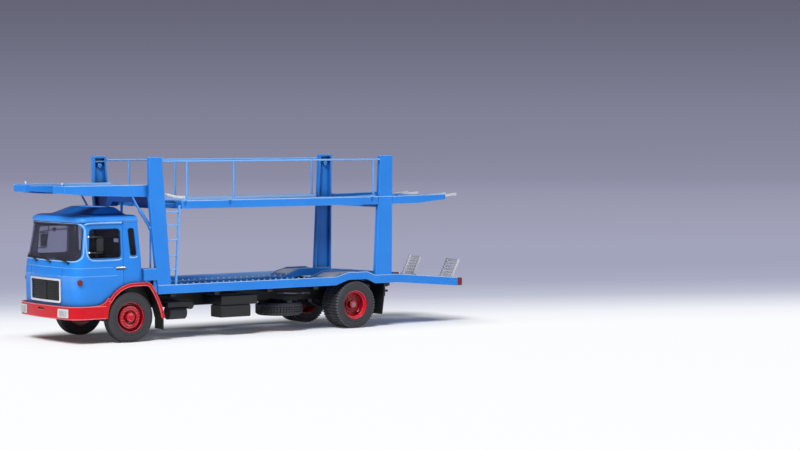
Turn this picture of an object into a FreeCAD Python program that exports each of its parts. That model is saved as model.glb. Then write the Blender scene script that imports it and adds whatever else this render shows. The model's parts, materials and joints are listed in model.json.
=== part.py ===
import FreeCAD, Part
import math
import os

# A 1:43 die-cast model of a two-axle car transporter truck, in millimetres.
# While the pieces are drawn, X = 0 is the front axle and X runs forward, Y runs to the left
# and Z = 0 is the ground. At the end everything is moved along X, so that the origin lies
# under the middle of the whole model.

V = FreeCAD.Vector

# Wheels and axles
wheel_base = 131.5
tyre_radius = 12.12
tyre_width = 6.4
tyre_bulge = 0.45
tyre_shoulder = 0.7
tyre_flats = 48
rim_radius = 7.9
rim_lip = 0.55
twin_gap = 0.9
pin_radius = 1.2
pin_clearance = 0.06
wheel_nuts = 10
nut_radius = 0.38
nut_height = 0.4
twin_disc_depth = 5.2
twin_hub_length = 2.9
pin_proud = 0.2

# Overall width, which the posts, decks and twin wheels share
half_width = 29.0
front_track_half = half_width - 0.95
cab_half = half_width - 1.8
bumper_half = half_width - 0.7

# Chassis
rail_inner = 5.0
rail_outer = 8.4
rail_bottom = 14.6
rail_top = 21.0
rail_front = 26.0
rail_rear = -164.0
bearer_length = 3.0
chassis_bearers = [-22.0, -47.0, -78.0, -106.0, -151.0]
chassis_crossbars = [22.0, -10.0, -40.0, -72.0, -104.0, -148.0, -160.0]
crossbar_length = 3.0
spring_half_length = 13.5
spring_drop = 4.2
spring_thickness = 1.7
axle_beam_gap = 0.6
axle_beam_half = 2.3
differential_radius = 4.6

# Cab: each level is its height, rear end, front end at the middle and half width
cab_levels = [
    (18.4, -7.4, 31.5, cab_half - 0.5),
    (32.4, -6.3, 31.6, cab_half),
    (37.0, -6.1, 31.1, cab_half - 0.1),
    (39.8, -6.0, 30.6, cab_half - 0.2),
    (58.0, -4.8, 27.6, cab_half - 1.4),
]
roof_levels = [
    (58.0, -4.9, 28.1, cab_half - 1.2),
    (59.4, -4.9, 28.0, cab_half - 1.2),
    (60.3, -4.6, 27.2, cab_half - 1.8),
    (61.2, -3.4, 24.6, cab_half - 5.7),
    (62.2, -1.6, 20.5, cab_half - 10.7),
    (62.9, 2.0, 15.5, cab_half - 16.7),
]
cab_wall = 1.2
cab_crown = 1.6
cab_corner = 5.4
rail_slot_gap = 0.2
roof_cavity_height = 60.0
roof_cavity_inset = 3.8
glass_inset = 0.35
glass_thickness = 0.5
windscreen_bottom = 40.2
windscreen_top = 57.0
windscreen_half_bottom = cab_half - 1.0
windscreen_half_top = cab_half - 2.7
windscreen_rear = 22.6
window_corner = 1.6
door_window_front = 22.2
door_window_rear = 5.2
window_bottom = 41.2
window_top = 54.8
quarter_front = 0.6
quarter_width = 2.9
quarter_lean = 1.1
rear_window_half = 17.0
grille_half = 15.3
grille_bottom = 19.6
grille_top = 31.3
grille_frame_width = 1.1
grille_frame_proud = 0.55
grille_bars = 9
grille_bar_height = 0.45
gutter_front = 23.1
gutter_rear = 3.5
gutter_height = 57.2
roof_panel_front = 16.5
roof_panel_rear = 2.5
roof_panel_half = 10.5
roof_panel_proud = 0.5

# Cab floor and what stands on it
floor_bottom = 25.3
floor_thickness = 1.2
floor_gap = 0.05
dash_top = 40.4
dash_depth = 6.5
seat_width = 11.0
seat_centre = 13.8
seat_front = 9.0
seat_rear = -1.5
seat_height = 8.5
seat_back_height = 21.0
seat_back_depth = 2.6
steering_radius = 4.6
steering_rim = 0.45
steering_lean = 62.0

# Bumper and wheel arches
bumper_bottom = 12.1
bumper_front = 33.7
bumper_corner = 6.4
bumper_wall = 2.9
arch_centre_x = -2.0
arch_centre_z = 12.4
arch_radius = 14.8
arch_band = 1.5
arch_liner = 1.1
arch_foot_z = 10.9
arch_shoulder_x = -8.4
arch_shoulder_radius = 2.4
arch_inner_y = front_track_half - tyre_width - 1.05
arch_inner_wall = 0.7
lining_foot = 16.0
headlamp_outer = bumper_half - 4.3
headlamp_inner = headlamp_outer - 8.0
headlamp_bottom = 13.0
headlamp_top = 17.2
headlamp_proud = 0.35
corner_lamp_height = 29.7
corner_lamp_radius = 1.3
corner_lamp_turn = 65.0
bumper_slot_bottom = 16.0
bumper_slot_top = 17.0
bumper_flare = [(22.0, 18.3), (18.0, 18.65), (15.5, 19.3), (13.8, 20.4), (12.6, 22.0), (11.6, 21.9), (13.0, 18.3)]

# Door mirrors, folded back beside the door windows
mirror_front = 18.9
mirror_rear = 15.4
mirror_bottom = 44.5
mirror_top = 50.6
mirror_inner = half_width - 0.8
mirror_outer = half_width - 0.2
mirror_arm_front = 22.4
mirror_arm_radius = 0.3
mirror_arm_gap = 0.7

# Posts: forward edge and rearward edge of the channel, each as (x, z) from foot to top
post_foot = 27.0
post_top = 89.1
front_post_fore = [(-14.2, post_foot), (-13.2, 35.9), (-11.3, 53.8), (-9.9, 69.5), (-9.8, post_top)]
front_post_aft = [(-21.7, post_foot), (-19.7, 53.6), (-18.4, 69.3), (-16.7, post_top)]
rear_post_fore = [(-143.95, post_foot), (-147.1, post_top)]
rear_post_aft = [(-154.4, post_foot), (-154.9, post_top)]
post_depth = 2.5
post_wall = 0.9
post_cap = 1.2
pulley_height = post_top - 4.9
pulley_bar_bottom = post_top - 3.2
pulley_bar_height = 0.6
pulley_radius = 1.1
post_box_front = -6.7
post_box_bottom = 29.6
post_box_top = 35.3
post_box_depth = 4.6
post_bracket_front = -12.2
post_bracket_bottom = 23.4
post_bracket_inner = half_width - 4.2
post_bracket_outer = half_width - 0.8
lift_rod_x = -11.9
lift_rod_top = 54.4
lift_rod_radius = 0.45
ram_foot = (-12.1, 54.8)
ram_joint = (-6.0, 63.6)
ram_head = (-2.2, 69.9)
ram_barrel_radius = 0.85
ram_rod_radius = 0.5
ram_y = half_width - 3.3

# Decks: a track is a floor between an outer beam and an inner lip
track_inner = 10.6
beam_wall = 1.4
lip_wall = 0.9
floor_plate = 0.8
post_gap = 0.1

# Upper deck over the cab, which runs back between the front posts
front_track_inner = 14.5
front_track_outer = half_width - post_depth - post_gap
tip_x = 34.5
tip_block = 3.0
front_deck_top = 75.6
front_deck_end = -18.9
front_beam_under = [(-9.7, 69.8), (22.0, 70.8), (34.5, 71.9)]
front_lip_top = 75.0
front_lip_bottom = 71.0
front_lip_tip_bottom = 72.6
front_floor_top = 73.6
front_cross_x = -11.6
front_cross_length = 4.2
front_cross_middle = 66.6
front_cross_side = 64.2
tip_cross_x = 16.0

# Upper deck behind the front posts
mid_deck_front = -27.8
mid_deck_top = 67.7
mid_deck_bottom = 63.7
tail_start = -157.0
tail_end = -189.5
tail_top = 68.3
tail_tip_bottom = 65.4
mid_floor_top = 65.4
tail_floor_top = 66.9
mid_lip_top = 66.7
mid_crossbars = [-34.0, -72.0, -110.0, -149.5, -187.0]
mid_crossbar_length = 3.2
mid_crossbar_height = 1.8
link_arm_inner = 18.5
link_arm_outer = 22.5

# Lower deck
low_front = -14.5
low_top = 27.0
low_bottom = 22.7
low_floor_top = 24.4
low_lip_top = 25.6
hump_start = -119.0
hump_crest_front = -126.8
hump_crest_rear = -138.6
hump_end = -143.9
hump_under = 25.2
hump_rise = 2.0
hump_floor_front = -113.0
hump_floor_top = 28.0
hump_floor_rear = -149.5
beaver_start = -158.0
beaver_end = -199.5
beaver_drop = 3.5
lamp_length = 3.1
low_crossbars = [-18.0, -60.0, -100.0, -152.0]
low_crossbar_length = 3.2
hump_plate_thickness = 0.4
hump_plate_margin = 1.2

# Hinged loading flaps at the rear of both decks
flap_inner = 11.8
flap_outer = 22.1
flap_thickness = 0.8
flap_rim = 1.0
flap_rim_proud = 0.6
flap_slots = 5
flap_slot_height = 0.9
flap_pin_radius = 0.6
flap_lug = 0.9
flap_gap = 0.15
low_flap_x = -199.2
low_flap_z = 22.4
low_flap_length = 11.6
low_flap_lean = 27.0
low_lip_end = -195.0
high_flap_x = -191.0
high_flap_z = 66.6
high_flap_length = 11.4
high_flap_lean = 85.0

# Ladder, handrails and chain
rail_height = post_top - 2.2
rail_radius = 0.5
rail_y = half_width - 0.7
stanchions = [-31.0, -58.0, -143.0]
ladder_top = (-26.7, 65.4)
ladder_foot = (-24.5, 27.0)
ladder_y = half_width - 0.6
rung_heights = [34.3, 41.1, 48.7, 55.9, 62.4]
rung_radius = 0.35
stile_half = 0.45
chain_front = (-18.75, 71.3)
chain_low = (-25.5, 69.6)
chain_rear = (-30.2, 69.4)
chain_links = 8
chain_y = half_width - 0.8
chain_link_half = 1.08
chain_link_width = 1.1
chain_wire = 0.28

# What hangs under the decks
mudflap_thickness = 0.7
front_flap_bottom = 5.5
rear_flap_x = -149.6
rear_flap_bottom = 6.2
rear_flap_narrowing = 2.4
fuel_front = -51.3
fuel_length = 17.2
fuel_outer = half_width - 2.0
fuel_inner = fuel_outer - 10.0
fuel_bottom = 9.3
fuel_top = 15.3
locker_front = -52.0
locker_length = 21.0
locker_outer = half_width - 3.0
air_tank_front = -23.5
air_tank_length = 9.6
air_tank_radius = 3.25
air_tank_y = half_width - 7.5
air_bracket_top = rail_bottom + 3.2
drier_z = 15.9
drier_radius = 1.8
air_tank_z = 12.7
spare_x = -93.5
spare_y = 14.6
spare_bottom = 8.1
spare_carrier_width = 3.0
spare_collar_radius = 2.6
spare_stud = 2.4
coupling_front = -164.0
coupling_length = 7.6
coupling_half = 3.2
coupling_z = 17.6
coupling_gap = 1.8
coupling_plate = 1.0
coupling_bore = 0.8


# Drawing helpers

def box(x0, x1, y0, y1, z0, z1):
    low = V(min(x0, x1), min(y0, y1), min(z0, z1))
    return Part.makeBox(abs(x1 - x0), abs(y1 - y0), abs(z1 - z0), low)


def closed_wire(points):
    return Part.makePolygon(points + [points[0]])


def side_plate(outline, y0, y1):
    """Extrude an outline of (x, z) points from y0 to y1."""
    face = Part.Face(closed_wire([V(x, y0, z) for x, z in outline]))
    return face.extrude(V(0, y1 - y0, 0))


def cross_plate(outline, x0, x1):
    """Extrude an outline of (y, z) points from x0 to x1."""
    face = Part.Face(closed_wire([V(x0, y, z) for y, z in outline]))
    return face.extrude(V(x1 - x0, 0, 0))


def rod(start, end, radius):
    start, end = V(*start), V(*end)
    return Part.makeCylinder(radius, (end - start).Length, start, end - start)


def fuse(shapes):
    whole = shapes[0].multiFuse(shapes[1:]) if len(shapes) > 1 else shapes[0]
    return whole.removeSplitter()


def mirrored(shape):
    return shape.mirror(V(0, 0, 0), V(0, 1, 0))


def pair(shape):
    """The piece and its mirror image, as one node of two solids."""
    return Part.makeCompound([shape, mirrored(shape)])


def round_along(solid, direction, radius, chosen=None):
    """Round the straight edges that run along one direction."""
    edges = []
    for edge in solid.Edges:
        if not isinstance(edge.Curve, Part.Line):
            continue
        along = abs(edge.tangentAt(edge.FirstParameter).dot(direction)) > 0.999
        if along and (chosen is None or chosen(edge.CenterOfMass)):
            edges.append(edge)
    return solid.makeFillet(radius, edges)


def turned(profile, x, y, side):
    """Revolve a closed profile of (y, radius) points about a wheel's axis."""
    points = [V(x, y + side * along, tyre_radius + radius) for along, radius in profile]
    face = Part.Face(closed_wire(points))
    return face.revolve(V(x, y, tyre_radius), V(0, 1, 0), 360)


def turned_in_flats(profile, x, y, side, flats):
    """Carry a closed profile of (y, radius) points round a wheel's axis in flat steps.

    Each step touches the full circle at its middle, and one of them faces the ground.
    """
    half_step = math.pi / flats
    rings = []
    for number in range(flats):
        angle = 2 * half_step * number + half_step - math.pi / 2
        corners = []
        for along, radius in profile:
            reach = radius / math.cos(half_step)
            corners.append(V(x + reach * math.cos(angle), y + side * along,
                             tyre_radius + reach * math.sin(angle)))
        rings.append(corners)
    faces = []
    for this, after in zip(rings, rings[1:] + rings[:1]):
        for corner in range(len(profile)):
            follow = (corner + 1) % len(profile)
            faces.append(Part.Face(closed_wire([this[corner], this[follow], after[follow], after[corner]])))
    solid = Part.Solid(Part.Shell(faces))
    if solid.Volume < 0:
        solid.reverse()
    return solid


def x_on(edge_line, z):
    """Where a post's edge lies at height z."""
    for (x0, z0), (x1, z1) in zip(edge_line, edge_line[1:]):
        if z <= z1:
            return x0 + (x1 - x0) * (z - z0) / (z1 - z0)
    return edge_line[-1][0]


pieces = {}


def both_sides(name, shape):
    pieces[name + "_left"] = shape
    pieces[name + "_right"] = mirrored(shape)


# Wheels

def tyre(x, y, side):
    """One tyre: a tread of flat blocks, bevelled shoulders and sidewalls that bulge a little."""
    half = tyre_width / 2
    wall = half - tyre_bulge
    crown = tyre_radius - 1.9
    profile = [
        (-wall, rim_radius), (wall, rim_radius), (half, rim_radius + 1.1), (half, crown),
        (wall - tyre_shoulder, tyre_radius), (tyre_shoulder - wall, tyre_radius), (-half, crown),
        (-half, rim_radius + 1.1),
    ]
    return turned_in_flats(profile, x, y, side, tyre_flats)


def ring_of(count, radius, x, y0, y1, circle):
    """Small six-sided pegs on a circle about a wheel's axis."""
    pegs = []
    for number in range(count):
        angle = 2 * math.pi * number / count
        px = x + circle * math.cos(angle)
        pz = tyre_radius + circle * math.sin(angle)
        corners = [angle + math.pi / 3 * corner for corner in range(6)]
        outline = [(px + radius * math.cos(turn), pz + radius * math.sin(turn)) for turn in corners]
        pegs.append(side_plate(outline, y0, y1))
    return pegs


def front_rim(y, side):
    """Pressed front wheel: raised hub in a shallow dish, with nuts and hand holes."""
    half = tyre_width / 2
    bead = half - tyre_bulge
    dish = 0.9
    profile = [
        (-bead, pin_radius), (-bead, rim_radius), (bead, rim_radius), (half - 0.3, rim_radius - 0.1),
        (half - 0.3, rim_radius - rim_lip), (dish, rim_radius - 1.2), (dish, 5.9), (half - 1.3, 5.2),
        (half - 0.8, 3.0), (half - 0.2, 2.6), (half, 1.7), (half, 0), (0, 0), (0, pin_radius),
    ]
    rim = turned(profile, 0, y, side)
    face = y + side * (half - 1.3)
    nuts = ring_of(wheel_nuts, nut_radius, 0, face, face + side * (nut_height + 0.5), 3.9)
    rim = fuse([rim] + nuts)
    holes = ring_of(wheel_nuts, 0.45, 0, y + side * (dish - 0.8), y + side * half, 6.3)
    return rim.cut(Part.makeCompound(holes))


def rear_rim(y, side):
    """Twin wheel: two deep barrels, one disc between them, and a hub bored for the axle's end."""
    half = tyre_width + twin_gap / 2
    bead = half - tyre_bulge
    barrel = rim_radius - 0.7
    disc = half - twin_disc_depth
    hub = disc + twin_hub_length
    profile = [
        (-bead, rim_radius), (bead, rim_radius), (bead + 0.2, rim_radius - 0.1),
        (bead + 0.2, barrel), (disc + 0.6, barrel), (disc, barrel - 0.8), (disc, 3.2),
        (disc + 0.7, 2.9), (disc + 0.7, 2.1), (hub - 0.3, 2.0), (hub, 1.7), (hub, pin_radius),
        (disc - 4.5, pin_radius), (disc - 4.5, 2.6), (disc - 1.2, 3.0),
        (disc - 1.2, barrel - 0.6), (disc - 1.8, barrel), (-bead, barrel),
    ]
    rim = turned(profile, -wheel_base, y, side)
    face = y + side * disc
    nuts = ring_of(wheel_nuts, nut_radius, -wheel_base, face - side * 0.5, face + side * nut_height, 4.2)
    return fuse([rim] + nuts)


front_wheel_y = front_track_half - tyre_width / 2
twin_y = half_width - tyre_width - twin_gap / 2
twin_offset = (tyre_width + twin_gap) / 2
for side, hand in ((1, "left"), (-1, "right")):
    pieces["front_rim_" + hand] = front_rim(side * front_wheel_y, side)
    pieces["front_tyre_" + hand] = tyre(0, side * front_wheel_y, side)
    pieces["rear_rim_" + hand] = rear_rim(side * twin_y, side)
    twins = [tyre(-wheel_base, side * (twin_y + step), side) for step in (-twin_offset, twin_offset)]
    pieces["rear_tyres_" + hand] = Part.makeCompound(twins)

front_pin_half = front_wheel_y
pieces["front_axle_pin"] = rod((0, -front_pin_half, tyre_radius), (0, front_pin_half, tyre_radius), pin_radius)
rear_pin_half = twin_y + tyre_width + twin_gap / 2 - twin_disc_depth + twin_hub_length + pin_proud
pieces["rear_axle_pin"] = rod((-wheel_base, -rear_pin_half, tyre_radius),
                              (-wheel_base, rear_pin_half, tyre_radius), pin_radius)


# Chassis

def deck_bearers():
    """The bearers that lie across the rails and carry the lower tracks."""
    reach = half_width - beam_wall
    return Part.makeCompound([box(x, x - bearer_length, -reach, reach, rail_top, low_bottom)
                              for x in chassis_bearers])


def chassis_frame():
    """Two rails, the crossbars between them and the cab mounts."""
    solids = [box(rail_rear, rail_front, side * rail_inner, side * rail_outer, rail_bottom, rail_top)
              for side in (1, -1)]
    for x in chassis_crossbars:
        solids.append(box(x, x - crossbar_length, -rail_inner, rail_inner, rail_bottom + 1, rail_top - 1))
    for x in (20.0, 2.0):
        for side in (1, -1):
            solids.append(box(x, x - 4, side * rail_inner, side * rail_outer, rail_top - 0.3, floor_bottom))
    for side in (1, -1):
        solids.append(box(rail_front + 4.2, rail_front - 3, side * rail_inner, side * rail_outer,
                          rail_bottom + 0.5, cab_levels[0][0] - 0.2))
    return fuse(solids)


def leaf_spring(x, side):
    """One leaf spring: a shallow bow hung from the rail at both ends."""
    def bow(drop):
        left = V(x - spring_half_length, 0, rail_bottom - drop)
        right = V(x + spring_half_length, 0, rail_bottom - drop)
        return left, V(x, 0, rail_bottom - spring_drop - drop), right
    l0, m0, r0 = bow(0)
    l1, m1, r1 = bow(spring_thickness)
    edges = [Part.Arc(l0, m0, r0).toShape(), Part.makeLine(r0, r1),
             Part.Arc(r1, m1, l1).toShape(), Part.makeLine(l1, l0)]
    face = Part.Face(Part.Wire(edges))
    face.translate(V(0, side * (rail_inner + 0.2), 0))
    return face.extrude(V(0, side * (rail_outer - rail_inner - 0.4), 0))


def axle_beam(x, half_length, differential):
    """The axle's housing with its springs, bored for the pin that carries the wheels."""
    low, high = tyre_radius - axle_beam_half, rail_bottom
    solids = [rod((x, -half_length, tyre_radius), (x, half_length, tyre_radius), axle_beam_half)]
    for side in (1, -1):
        solids.append(leaf_spring(x, side))
        solids.append(box(x - 2.6, x + 2.6, side * rail_inner, side * rail_outer, low, high))
        for end in (-1, 1):
            hanger_x = x + end * (spring_half_length - 1.2)
            solids.append(box(hanger_x - 1.2, hanger_x + 1.2, side * (rail_inner + 0.2),
                              side * (rail_outer - 0.2), rail_bottom - spring_thickness, rail_bottom))
    if differential:
        bulge = [(-3.6, 0), (3.6, 0), (3.0, 2.8), (1.6, differential_radius), (-1.6, differential_radius), (-3.0, 2.8)]
        solids.append(turned(bulge, x, 0, 1))
    bore = rod((x, -half_length - 1, tyre_radius), (x, half_length + 1, tyre_radius),
               pin_radius + pin_clearance)
    return fuse(solids).cut(bore)


pieces["deck_bearers"] = deck_bearers()
pieces["front_axle_beam"] = axle_beam(0, front_wheel_y - tyre_width / 2 - axle_beam_gap, False)
pieces["rear_axle_beam"] = axle_beam(-wheel_base, twin_y - tyre_width - twin_gap / 2 - axle_beam_gap, True)


# Cab

def plan_wire(z, rear, front, half, corner, crown):
    """A plan outline: straight sides, round front corners and a slightly crowned front."""
    face_x, face_y = front - crown, half - corner
    side_x = face_x - corner
    bend_x, bend_y = side_x + corner * math.sqrt(0.5), face_y + corner * math.sqrt(0.5)
    edges = [
        Part.makeLine(V(rear, -half, z), V(side_x, -half, z)),
        Part.Arc(V(side_x, -half, z), V(bend_x, -bend_y, z), V(face_x, -face_y, z)).toShape(),
        Part.Arc(V(face_x, -face_y, z), V(front, 0, z), V(face_x, face_y, z)).toShape(),
        Part.Arc(V(face_x, face_y, z), V(bend_x, bend_y, z), V(side_x, half, z)).toShape(),
        Part.makeLine(V(side_x, half, z), V(rear, half, z)),
        Part.makeLine(V(rear, half, z), V(rear, -half, z)),
    ]
    return Part.Wire(edges)


def cab_body(inset, levels, smooth=False):
    """The cab's outer form drawn in by an inset, or standing proud of it by a negative one."""
    corner = max(cab_corner - inset, 0.8)
    wires = [plan_wire(z, rear + inset, front - inset, half - inset, corner, cab_crown)
             for z, rear, front, half in levels]
    return Part.makeLoft(wires, True, not smooth)


def rounded_prism(outline, direction, start, end, radius):
    """A window or lamp outline with round corners, run through the wall."""
    make = cross_plate if direction == "x" else side_plate
    axis = V(1, 0, 0) if direction == "x" else V(0, 1, 0)
    return round_along(make(outline, start, end), axis, radius)


def cab_openings():
    """The window and grille outlines, by name, each as a solid that runs through its own wall."""
    windscreen = rounded_prism([(-windscreen_half_bottom, windscreen_bottom),
                                (windscreen_half_bottom, windscreen_bottom),
                                (windscreen_half_top, windscreen_top), (-windscreen_half_top, windscreen_top)],
                               "x", windscreen_rear, 40.0, 2.6)
    door = rounded_prism([(door_window_rear, window_bottom), (door_window_front, window_bottom),
                          (door_window_front - 1.0, window_top), (door_window_rear, window_top)],
                         "y", 20.0, 32.0, window_corner)
    quarter = rounded_prism([(quarter_front - quarter_lean, window_bottom + 0.8),
                             (quarter_front - quarter_lean - quarter_width, window_bottom + 0.8),
                             (quarter_front - quarter_width, window_top), (quarter_front, window_top)],
                            "y", 20.0, 32.0, 0.9)
    rear = rounded_prism([(-rear_window_half, window_bottom), (rear_window_half, window_bottom),
                          (rear_window_half, window_top), (-rear_window_half, window_top)],
                         "x", -12.0, 0.5, window_corner)
    grille = rounded_prism([(-grille_half + grille_frame_width, grille_bottom + grille_frame_width),
                            (grille_half - grille_frame_width, grille_bottom + grille_frame_width),
                            (grille_half - grille_frame_width, grille_top - grille_frame_width),
                            (-grille_half + grille_frame_width, grille_top - grille_frame_width)],
                           "x", 24.0, 40.0, 0.6)
    return {"windscreen": [windscreen], "door": [door, mirrored(door)],
            "quarter": [quarter, mirrored(quarter)], "rear": [rear], "grille": [grille]}


def arch_side(gap, y0, y1):
    """The space over a front wheel, grown outwards by a gap, as a solid from y0 to y1."""
    radius = arch_radius + gap
    corner = arch_shoulder_radius + gap
    corner_z = arch_centre_z + arch_radius - arch_shoulder_radius
    crest_z = arch_centre_z + radius
    foot = V(arch_centre_x - radius - 0.2, y0, arch_foot_z)
    hip_angle = math.radians(158)
    hip = V(arch_shoulder_x + corner * math.cos(hip_angle), y0, corner_z + corner * math.sin(hip_angle))
    bend_angle = math.radians(118)
    bend = V(arch_shoulder_x + corner * math.cos(bend_angle), y0, corner_z + corner * math.sin(bend_angle))
    thigh = V((hip.x + foot.x) / 2 - 0.9, y0, (hip.z + foot.z) / 2)
    toe = V(arch_centre_x + radius, y0, bumper_bottom)
    slope = radius * math.sqrt(0.5)
    edges = [
        Part.makeLine(foot, V(toe.x, y0, foot.z)),
        Part.makeLine(V(toe.x, y0, foot.z), toe),
        Part.Arc(toe, V(arch_centre_x + slope, y0, arch_centre_z + slope), V(arch_centre_x, y0, crest_z)).toShape(),
        Part.makeLine(V(arch_centre_x, y0, crest_z), V(arch_shoulder_x, y0, crest_z)),
        Part.Arc(V(arch_shoulder_x, y0, crest_z), bend, hip).toShape(),
        Part.Arc(hip, thigh, foot).toShape(),
    ]
    return Part.Face(Part.Wire(edges)).extrude(V(0, y1 - y0, 0))


def cab_shell(openings):
    """One hollow casting, open below: walls, crowned roof, gutters and the raised roof panel."""
    outer = fuse([cab_body(0, cab_levels), cab_body(0, roof_levels, smooth=True)])
    panel = box(roof_panel_rear, roof_panel_front, -roof_panel_half, roof_panel_half,
                roof_levels[-2][0], roof_levels[-1][0] + roof_panel_proud)
    panel = round_along(panel, V(0, 0, 1), 2.0)
    gutter_band = cab_body(-0.45, cab_levels).common(
        fuse([box(gutter_rear, gutter_front, side * 20, side * 30, gutter_height, gutter_height + 0.6)
              for side in (1, -1)]))
    outer = fuse([outer, panel, gutter_band])
    inner = cab_body(cab_wall, cab_levels)
    under = plan_wire(cab_levels[0][0], cab_levels[0][1] + cab_wall, cab_levels[0][2] - cab_wall,
                      cab_levels[0][3] - cab_wall, cab_corner - cab_wall, cab_crown)
    inner_foot = Part.Face(under).extrude(V(0, 0, -1))
    z, rear, front, half = cab_levels[-1]
    attic_wire = plan_wire(z - 0.5, rear + roof_cavity_inset, front - roof_cavity_inset,
                           half - roof_cavity_inset, cab_corner, cab_crown)
    attic = Part.Face(attic_wire).extrude(V(0, 0, roof_cavity_height - z + 0.5))
    shell = outer.cut(inner).cut(inner_foot).cut(attic)
    for group in openings.values():
        for opening in group:
            shell = shell.cut(opening)
    for side in (1, -1):
        shell = shell.cut(arch_side(arch_liner, side * (arch_inner_y - arch_inner_wall), side * 30))
        shell = shell.cut(box(-20, 0, side * (rail_inner - rail_slot_gap), side * (rail_outer + rail_slot_gap),
                              rail_bottom, rail_top + rail_slot_gap))
    return shell


def pane(inset, thickness, opening):
    """A sheet that follows the cab's wall and fills one opening."""
    return cab_body(inset, cab_levels).cut(cab_body(inset + thickness, cab_levels)).common(opening)


def grille_panel(opening):
    """Grille insert: a recessed back plate with level bars and one upright in the middle."""
    plate = pane(0.75, 0.45, opening)
    bars = []
    pitch = (grille_top - grille_bottom - 2 * grille_frame_width) / (grille_bars + 1)
    slab = pane(0.15, 0.7, opening)
    for number in range(1, grille_bars + 1):
        z = grille_bottom + grille_frame_width + number * pitch
        bars.append(slab.common(box(20, 40, -grille_half, grille_half,
                                    z - grille_bar_height / 2, z + grille_bar_height / 2)))
    bars.append(slab.common(box(20, 40, -0.4, 0.4, grille_bottom, grille_top)))
    return fuse([plate] + bars)


def grille_frame():
    outline = [(-grille_half, grille_bottom), (grille_half, grille_bottom),
               (grille_half, grille_top), (-grille_half, grille_top)]
    outer = rounded_prism(outline, "x", 24.0, 40.0, 1.1)
    proud = cab_body(-grille_frame_proud, cab_levels).cut(cab_body(0, cab_levels))
    return proud.common(outer).cut(openings["grille"][0])


openings = cab_openings()
pieces["cab_shell"] = cab_shell(openings)
pieces["windscreen"] = pane(glass_inset, glass_thickness, openings["windscreen"][0])
pieces["rear_window"] = pane(glass_inset, glass_thickness, openings["rear"][0])
pieces["side_windows"] = Part.makeCompound(
    [pane(glass_inset, glass_thickness, opening) for opening in openings["door"] + openings["quarter"]])
pieces["grille_panel"] = grille_panel(openings["grille"][0])
pieces["grille_frame"] = grille_frame()


def cab_floor():
    """Floor tray between the cab's walls, with the engine cover between the seats."""
    inner = cab_body(cab_wall + floor_gap, cab_levels)
    tray = inner.common(box(-20, 40, -40, 40, floor_bottom, floor_bottom + floor_thickness))
    cover = box(1.0, 19.0, -6.5, 6.5, floor_bottom + floor_thickness - 0.1, floor_bottom + 9.0)
    cover = round_along(cover, V(1, 0, 0), 1.5, lambda middle: middle.z > floor_bottom + 5)
    hollow = arch_side(arch_liner + floor_gap, arch_inner_y - arch_inner_wall - floor_gap, half_width)
    return fuse([tray, cover]).cut(hollow).cut(mirrored(hollow))


def seat(side):
    """Seat cushion on a pedestal, with an upright back."""
    top = floor_bottom + floor_thickness
    y0, y1 = side * (seat_centre - seat_width / 2), side * (seat_centre + seat_width / 2)
    cushion = side_plate([(seat_rear, top), (seat_front, top), (seat_front, top + seat_height - 1),
                          (seat_front - 1, top + seat_height), (seat_rear, top + seat_height)], y0, y1)
    back = side_plate([(seat_rear, top), (seat_rear + seat_back_depth, top),
                       (seat_rear + seat_back_depth - 1.6, top + seat_back_height),
                       (seat_rear - 1.2, top + seat_back_height)], y0, y1)
    return fuse([cushion, back])


def dashboard():
    """Dashboard across the cab under the windscreen, with its hood in front of the driver."""
    inner = cab_body(cab_wall + floor_gap, cab_levels)
    front = 30.0
    outline = [(front, floor_bottom + floor_thickness), (front - dash_depth, floor_bottom + floor_thickness),
               (front - dash_depth - 1.5, dash_top - 5), (front - dash_depth - 2.5, dash_top - 2.2),
               (front - dash_depth, dash_top - 0.6), (front, dash_top - 1.4)]
    body = side_plate(outline, -24.5, 24.5).common(inner)
    hood = side_plate([(front - dash_depth - 2.2, dash_top - 2.4), (front - dash_depth - 1.0, dash_top),
                       (front - dash_depth + 2.5, dash_top - 1.2)], 9.5, 20.0).common(inner)
    return fuse([body, hood])


def steering_wheel():
    """Driver's wheel on the left, with three spokes and the column down to the floor."""
    centre = V(17.2, seat_centre, dash_top - 1.2)
    lean = math.radians(steering_lean)
    axis = V(-math.cos(lean), 0, math.sin(lean))
    along = V(math.sin(lean), 0, math.cos(lean))
    across = V(0, 1, 0)
    section = [centre + along * (steering_radius + steering_rim * math.cos(turn)) + axis * (steering_rim * math.sin(turn))
               for turn in (math.pi / 3 * corner for corner in range(6))]
    wheel = [Part.Face(closed_wire(section)).revolve(centre, axis, 360)]
    for angle in (90, 210, 330):
        turn = math.radians(angle)
        tip = centre + (along * math.cos(turn) + across * math.sin(turn)) * steering_radius
        wheel.append(Part.makeCylinder(0.35, (tip - centre).Length, centre, tip - centre))
    wheel.append(Part.makeCylinder(1.0, 1.0, centre - axis * 0.5, axis))
    foot_length = (centre.z - floor_bottom - floor_thickness) / math.sin(lean)
    column = Part.makeCylinder(0.7, foot_length + 0.8, centre, axis * -1)
    column = column.common(box(0, 40, 0, 40, floor_bottom + floor_thickness, 60))
    wheel.append(column)
    return fuse(wheel).cut(pieces["dashboard"])


pieces["cab_floor"] = cab_floor()
pieces["seats"] = pair(seat(1))
pieces["dashboard"] = dashboard()
pieces["steering_wheel"] = steering_wheel()


# Bumper, arches and lamps

def bumper_body(inset, rear):
    wire = plan_wire(bumper_bottom, rear, bumper_front - inset, bumper_half - inset,
                     bumper_corner - inset, cab_crown)
    return Part.Face(wire).extrude(V(0, 0, cab_levels[0][0] - bumper_bottom))


def headlamp_opening():
    outline = [(headlamp_inner, headlamp_bottom), (headlamp_outer, headlamp_bottom),
               (headlamp_outer, headlamp_top), (headlamp_inner, headlamp_top)]
    return rounded_prism(outline, "x", 20.0, 40.0, 0.6)


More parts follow.
